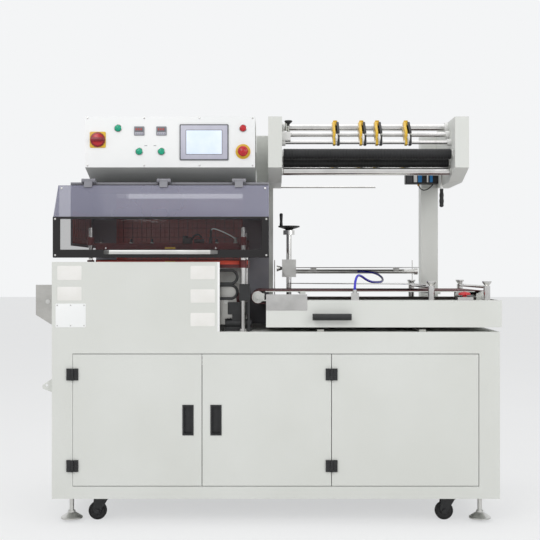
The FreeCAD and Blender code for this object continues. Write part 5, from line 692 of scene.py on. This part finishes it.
parts.append((turned([(0, 1056), (3.2, 1056), (4, 1054), (4, 1030), (6, 1028), (6, 1010), (8, 1008),
                      (8, 1005)],
                     (-202, -315, 0), "Z", 22), "blackNylon"))
parts.append((tube(smoothPath([(-202, -315, 1053), (-190, -314, 1060), (-160, -312, 1050), (-128, -310, 1034),
                               (-112, -308, 1022)], 10), 2.2, 10), "whiteMoulding"))
parts.append((turned([(0, 1028), (5, 1028), (5, 1014), (8, 1012), (8, 1000), (0, 1000)], (-112, -308, 0), "Z",
                     20),
              "zincPlate"))
makePiece("upperJawFittings", parts, body=bodyOf["upper_jaw"])
parts = [(slab((-617, -67), (-331.0, -330.0), (930, 944), 0.3), "orangeTape"),
         (slab((-367, -329), (-331.6, -331.0), (932, 942), 0.2), "yellowMoulding")]
makePiece("lowerJawTape", parts, body=bodyOf["lower_jaw"])
print("hood, guard and jaws done")

# seal unit casing: blank plates, nameplate, and a painted highlight on the cover's edge

casing = {"front": -375, "leftPlates": (-747, -660), "rightPlates": (-270.7, -183.7),
          "rightRows": ((877, 925), (793, 841), (709, 757)), "leftRows": ((874, 925), (801, 850)),
          "namePlate": (-753, -645, 705, 790)}
parts = []
x0, x1 = casing["leftPlates"]
for z0, z1 in casing["leftRows"]:
    parts.append((prism(roundedOutline(x1 - x0, z1 - z0, 4), -375.5, -375, ((x0 + x1) / 2, (z0 + z1) / 2),
                        "Y", 0.15),
                  "blankPlate"))
x0, x1 = casing["rightPlates"]
for z0, z1 in casing["rightRows"]:
    parts.append((prism(roundedOutline(x1 - x0, z1 - z0, 4), -375.5, -375, ((x0 + x1) / 2, (z0 + z1) / 2),
                        "Y", 0.15),
                  "blankPlate"))
x0, x1, z0, z1 = casing["namePlate"]
parts.append((prism(roundedOutline(x1 - x0, z1 - z0, 3), -375.9, -375, ((x0 + x1) / 2, (z0 + z1) / 2), "Y",
                    0.3),
              "satinWhitePlate"))
for x in (x0 + 6, (x0 + x1) / 2, x1 - 6):
    for z in (z0 + 6, z1 - 6):
        parts.append((screwHead(x, -375.9, z, 2.6), "chromedBar"))
# painted highlight: a near-white strip stands for the narrow bright band where the cover's folded right edge
# catches the light
parts.append((slab((-174.4, -166.7), (-375.4, -375), (690, 938), 0.15), "satinWhitePlate"))
makePiece("casingPlatesAndPaintedEdgeHighlight", parts, body="machine_frame")

# film carriage: rollers, clamped perforators, bearing blocks, drive unit and lever

film = {"inner": (58.5, 706.5), "tube": (-45, 1466, 13), "bar": (-75, 1434, 9), "shaft": (-113, 1399, 7),
        "clips": (267.5, 369.5, 430.5, 542.5), "clipWidth": 25}
innerLeft, innerRight = film["inner"]


def roller(node, name, core, groove, finish):
    # a ground sleeve between two shouldered ends; shallow grooves run round it every `groove` mm
    b = nodeBox(node)
    y, z = (b[2] + b[3]) / 2, (b[4] + b[5]) / 2
    radius = (b[5] - b[4]) / 2
    start, end = b[0], b[1]
    shoulder = 18
    profile = [(0, start), (7.6, start), (8, start + 0.8), (8, start + shoulder),
               (radius - 2, start + shoulder)]
    ends = [(radius - 2, end - shoulder), (8, end - shoulder), (8, end - 0.8), (7.6, end), (0, end)]
    body = [(radius - 1.2, start + shoulder), (radius, start + shoulder + 1.2)]
    if groove:
        x = np.arange(start + shoulder + 8, end - shoulder - 8, groove)
        steps = np.array([(0, 0), (0.9, -0.9), (1.8, -0.9), (2.7, 0)])
        for at in x:
            body += [(radius + drop, at + along) for along, drop in steps]
    body += [(radius, end - shoulder - 1.2), (radius - 1.2, end - shoulder)]
    coreSurface = turned(profile + [(radius - 2, end - shoulder)] + ends[1:], (0, y, z), "X", 32)
    sleeveSurface = turned([(radius - 3, start + shoulder), *body, (radius - 3, end - shoulder)], (0, y, z),
                           "X", 48)
    makePiece(name, [(coreSurface, core), (sleeveSurface, finish)], node)


roller("rubber_roller_front", "nipRollerFront", "satinAluminium", 12, "groundNitrile")
roller("rubber_roller_rear", "nipRollerRear", "satinAluminium", 12, "groundNitrile")
roller("idler_roller_lower", "chromeRollerLower", "chromedBar", 0, "chromedBar")
roller("idler_roller_upper", "chromeRollerUpper", "chromedBar", 0, "chromedBar")

# perforators: each a two-tone split clamp on the tube and bar, with a toothed wheel and a clamping screw
parts = []
ty, tz, _ = film["tube"]
by, bz, _ = film["bar"]
sy, sz2, _ = film["shaft"]
for x in film["clips"]:
    half = film["clipWidth"] / 2
    sidePlate = [(ty + 15, tz + 10), (ty + 6, tz + 18), (ty - 26, tz + 18), (sy - 10, sz2 + 42),
                 (sy - 13, sz2 + 34),
                 (sy - 13, sz2 - 8), (sy - 6, sz2 - 12), (sy + 10, sz2 - 12), (by + 14, bz - 14),
                 (ty + 16, tz - 16)]
    for side, finish in ((-1, "yellowMoulding"), (1, "blackNylon")):
        a, b = sorted((x + side * half, x + side * 3.2))
        parts.append((prism(sidePlate, a, b, axis="X", bevel=1.2), finish))
    bridge = [(ty + 15, tz + 9), (ty + 6, tz + 17), (ty - 24, tz + 17), (ty - 30, tz + 4), (ty - 15, tz - 2)]
    parts.append((prism(bridge, x - 3.4, x + 3.4, axis="X", bevel=0.4), "yellowMoulding"))
    for y, z, radius in (film["tube"], film["bar"], film["shaft"]):
        parts.append((turned([(radius + 0.4, x - half - 1.5), (radius + 3.5, x - half - 1.5),
                              (radius + 3.5, x - half + 1), (radius + 3.5, x + half - 1),
                              (radius + 3.5, x + half + 1.5), (radius + 0.4, x + half + 1.5),
                              (radius + 0.4, x - half - 1.5)], (0, y, z), "X", 28), "whiteMoulding"))
    # toothed wheel: the outline's radius rises and falls 5 % in 28 teeth
    parts.append((prism(ringOutline(14.5, 168, 0.05, 28), x - 3.6, x + 3.6, (sy - 14, sz2 + 16), "X", 0.5),
                  "whiteMoulding"))
    parts.append((turned([(0, x - 6), (5, x - 6), (6, x - 5), (6, x + 5), (5, x + 6), (0, x + 6)],
                         (0, sy - 14, sz2 + 16), "X", 24), "chromedBar"))
    parts.append((prism(ringOutline(8, 48, 0.06, 12), tz + 17.5, tz + 26.5, (x, ty - 4), "Z", 1.2),
                  "yellowMoulding"))
    parts.append((turned([(0, sy - 28.5), (3, sy - 28.5), (3.5, sy - 27.5), (3.5, sy - 12)],
                         (x + 9, 0, sz2 + 28), "Y", 18), "zincPlate"))
makePiece("clampedPerforators", parts, "film_perforators")

# bushes, bearing blocks and the tee knob at the left plate; clusters of collars at the right plate
parts = []
for y, z, radius in (film["tube"], film["bar"], film["shaft"]):
    for x in (innerLeft, innerRight - 14):
        parts.append((turned([(radius + 0.2, x), (radius + 5.5, x), (radius + 6, x + 0.8),
                              (radius + 6, x + 12.5),
                              (radius + 5.2, x + 14), (radius + 0.2, x + 14)], (0, y, z), "X", 36),
                              "whiteMoulding"))
for y, z in ((-143, 1351), (-85, 1323), (-113, 1289)):
    for x, toward in ((innerLeft, 1), (innerRight, -1)):
        a, b = sorted((x, x + toward * 5))
        parts.append((prism(roundedOutline(44, 30, 8), a, b, (y, z), "X", 1.0), "satinAluminium"))
        for dy in (-16, 16):
            parts.append((screwHead(x + toward * 5, y + dy, z, 2.6, "X", toward), "zincPlate"))
parts.append((prism(roundedOutline(30, 34, 4), 58.5, 92, (-118, 1399 + 22), "X", 1.5), "whiteMoulding"))
parts.append((turned([(0, 1483), (4, 1483), (4, 1470), (6, 1468), (6, 1452)], (76, -60, 0), "Z", 24),
              "zincPlate"))
makePiece("filmBearings", parts, body="machine_frame")
parts = [(turned([(0, 1484.4), (13, 1484.4), (15, 1483), (15, 1479.5), (11, 1476), (5.5, 1471), (5, 1464),
                  (0, 1464)],
                 (84, -104, 0), "Z", 32), "blackNylon"),
         (turned([(0, 1465), (3, 1465), (3, 1448), (6, 1447), (6, 1440), (0, 1440)], (84, -104, 0), "Z", 20),
          "zincPlate"),
         (slab((76, 92), (-112, -96), (1416, 1441), 1.5, axis="Z"), "satinAluminium"),
         (turned([(0, innerLeft), (14, innerLeft), (15, innerLeft + 2), (15, innerLeft + 16),
                  (10, innerLeft + 19),
                  (8.4, innerLeft + 19)], (0, -113, 1289), "X", 36), "brownCap")]
makePiece("filmTeeKnob", parts, body="machine_frame")

# drive unit: black moulded case with white and blue bands, cooling slots and a wire loop below
drive = nodeBox("film_drive_unit")
x0, x1, y0, y1, z0, z1 = drive
parts = [(slab((x0, x1), (y0, y1), (z0, z1), 2.5, 3), "blackNylon")]
for a, b, finish in ((32, 46, "whiteMoulding"), (50, 66, "bluePlastic"), (98, 110, "bluePlastic"),
                     (86, 92, "whiteMoulding")):
    parts.append((slab((x0 + a, x0 + b), (y0 - 0.6, y0 + 2), (z0 + 6, z1 - 5), 0.5), finish))
for index in range(7):
    parts.append((slab((x0 + 4, x0 + 26), (y0 - 0.3, y0 + 1), (z0 + 6 + index * 5, z0 + 8 + index * 5), 0.2),
                  "greyMoulding"))
for x in (x0 + 5, x1 - 5):
    parts.append((screwHead(x, y0, z1 - 4, 2.4), "zincPlate"))
makePiece("filmDriveCase", parts, "film_drive_unit")
loopWire = smoothPath([(626, 190, 1268), (632, 186, 1250), (646, 182, 1240), (664, 184, 1244),
                       (680, 188, 1256),
                       (690, 192, 1268)], 12)
makePiece("driveWireLoop", [(tube(loopWire, 2.2, 10), "blackNylon"),
                            (turned([(0, 1267), (4, 1267), (4.5, 1262), (3, 1256), (0, 1256)], (627, 190, 0),
                                    "Z", 18),
                             "brassFitting")], body="machine_frame")

# tension lever: bossed eye, slim steel stem, moulded grip with three finger waves
lever = nodeBox("tension_lever")
x = (lever[0] + lever[1]) / 2
pivotY, pivotZ = 45, 1329
h = np.linspace(0, 72, 25)
waves = 8.6 + 0.7 * np.cos(h / 72 * 6 * np.pi) - 2.2 * (h / 72) ** 4
gripProfile = [(0, lever[4])] + [(r * math.sqrt(min(1, (v + 0.8) / 5)), lever[4] + v) for r,
                                 v in zip(waves, h)]
parts = [(turned([(6.3, x - 5.5), (12.4, x - 5.5), (13, x - 4.6), (13, x + 4.6), (12.4, x + 5.5),
                  (6.3, x + 5.5),
                  (6.3, x - 5.5)], (0, pivotY, pivotZ), "X", 40), "satinAluminium"),
         (turned([(4, pivotZ - 12), (4, lever[4] + 74), (0, lever[4] + 74)], (x, pivotY, 0), "Z", 20),
          "chromedBar"),
         (turned([*gripProfile, (5, lever[4] + 73.5), (0, lever[4] + 73.5)], (x, pivotY, 0), "Z", 30),
          "blackNylon")]
makePiece("tensionLeverGrip", parts, "tension_lever")
print("film carriage done")


# floor, light

stage = {"worldStrength": 0.58}
floorMesh = bpy.data.meshes.new("paleFloor")
floorMesh.from_pydata([(-30, -30, 0), (30, -30, 0), (30, 30, 0), (-30, 30, 0)], [], [(0, 1, 2, 3)])
floor = bpy.data.objects.new("paleFloor", floorMesh)
scene.collection.objects.link(floor)
floorFinish = bpy.data.materials.new("palePaintedFloor")
floorFinish.use_nodes = True
floorFinish.node_tree.nodes.clear()
floorNoise = addNode(floorFinish, "ShaderNodeTexNoise", {"Scale": 1.5},
                     {"Vector": addNode(floorFinish, "ShaderNodeTexCoord").outputs["Object"]})
floorTone = addNode(floorFinish, "ShaderNodeMix", {"data_type": "RGBA", 6: linear("#F1F1F1"),
                                                   7: linear("#EDEDED")},
                    {0: floorNoise.outputs[0]})
floorMatt = addNode(floorFinish, "ShaderNodeBsdfPrincipled", {"Roughness": 0.85},
                    {"Base Color": floorTone.outputs[2]})
floorGlow = addNode(floorFinish, "ShaderNodeEmission", {"Color": linear("#F4F5F6"), "Strength": 1.0})
floorSeen = addNode(floorFinish, "ShaderNodeMath", {"operation": "MULTIPLY", 1: 0.62},
                    {0: addNode(floorFinish, "ShaderNodeLightPath").outputs["Is Camera Ray"]})
floorMix = addNode(floorFinish, "ShaderNodeMixShader", {}, {0: floorSeen.outputs[0], 1: floorMatt.outputs[0],
                                                            2: floorGlow.outputs[0]})
addNode(floorFinish, "ShaderNodeOutputMaterial", {}, {"Surface": floorMix.outputs[0]})
floorMesh.materials.append(floorFinish)

world = bpy.data.worlds.new("softStudio")
scene.world = world
world.use_nodes = True
world.node_tree.nodes.clear()
paths = addNode(world, "ShaderNodeLightPath")
seen = addNode(world, "ShaderNodeMath", {"operation": "MAXIMUM"},
               {0: paths.outputs["Is Camera Ray"], 1: paths.outputs["Is Transmission Ray"]})
seenToo = addNode(world, "ShaderNodeMath", {"operation": "MAXIMUM"},
                  {0: seen.outputs[0], 1: paths.outputs["Is Glossy Ray"]})
lightSky = addNode(world, "ShaderNodeBackground", {"Color": linear("#FFFFFF"),
                                                   "Strength": stage["worldStrength"]})
shownSky = addNode(world, "ShaderNodeBackground", {"Color": linear("#F4F5F6"), "Strength": 1.0})
skyMix = addNode(world, "ShaderNodeMixShader", {}, {0: seenToo.outputs[0], 1: lightSky.outputs[0],
                                                    2: shownSky.outputs[0]})
addNode(world, "ShaderNodeOutputWorld", {}, {"Surface": skyMix.outputs[0]})

lamps = {
    "keySoftbox": {"place": (-2.2, -4.2, 3.6), "aim": (0, 0, 0.8), "size": 2.6, "power": 75},
    "fillSoftbox": {"place": (2.8, -3.8, 2.4), "aim": (0, 0, 0.8), "size": 2.6, "power": 44},
    "topSoftbox": {"place": (0, 0.2, 4.2), "aim": (0, 0, 0.8), "size": 3.0, "power": 36},
}
for name, lamp in lamps.items():
    light = bpy.data.lights.new(name, "AREA")
    light.energy = lamp["power"]
    light.size = lamp["size"]
    lampObject = bpy.data.objects.new(name, light)
    lampObject.location = lamp["place"]
    toward = np.array(lamp["aim"], float) - np.array(lamp["place"], float)
    flat = math.hypot(toward[0], toward[1])
    lampObject.rotation_euler = (math.pi / 2 + math.atan2(toward[2], flat), 0,
                                 math.atan2(-toward[0], toward[1]))
    scene.collection.objects.link(lampObject)
print("stage and lamps set")
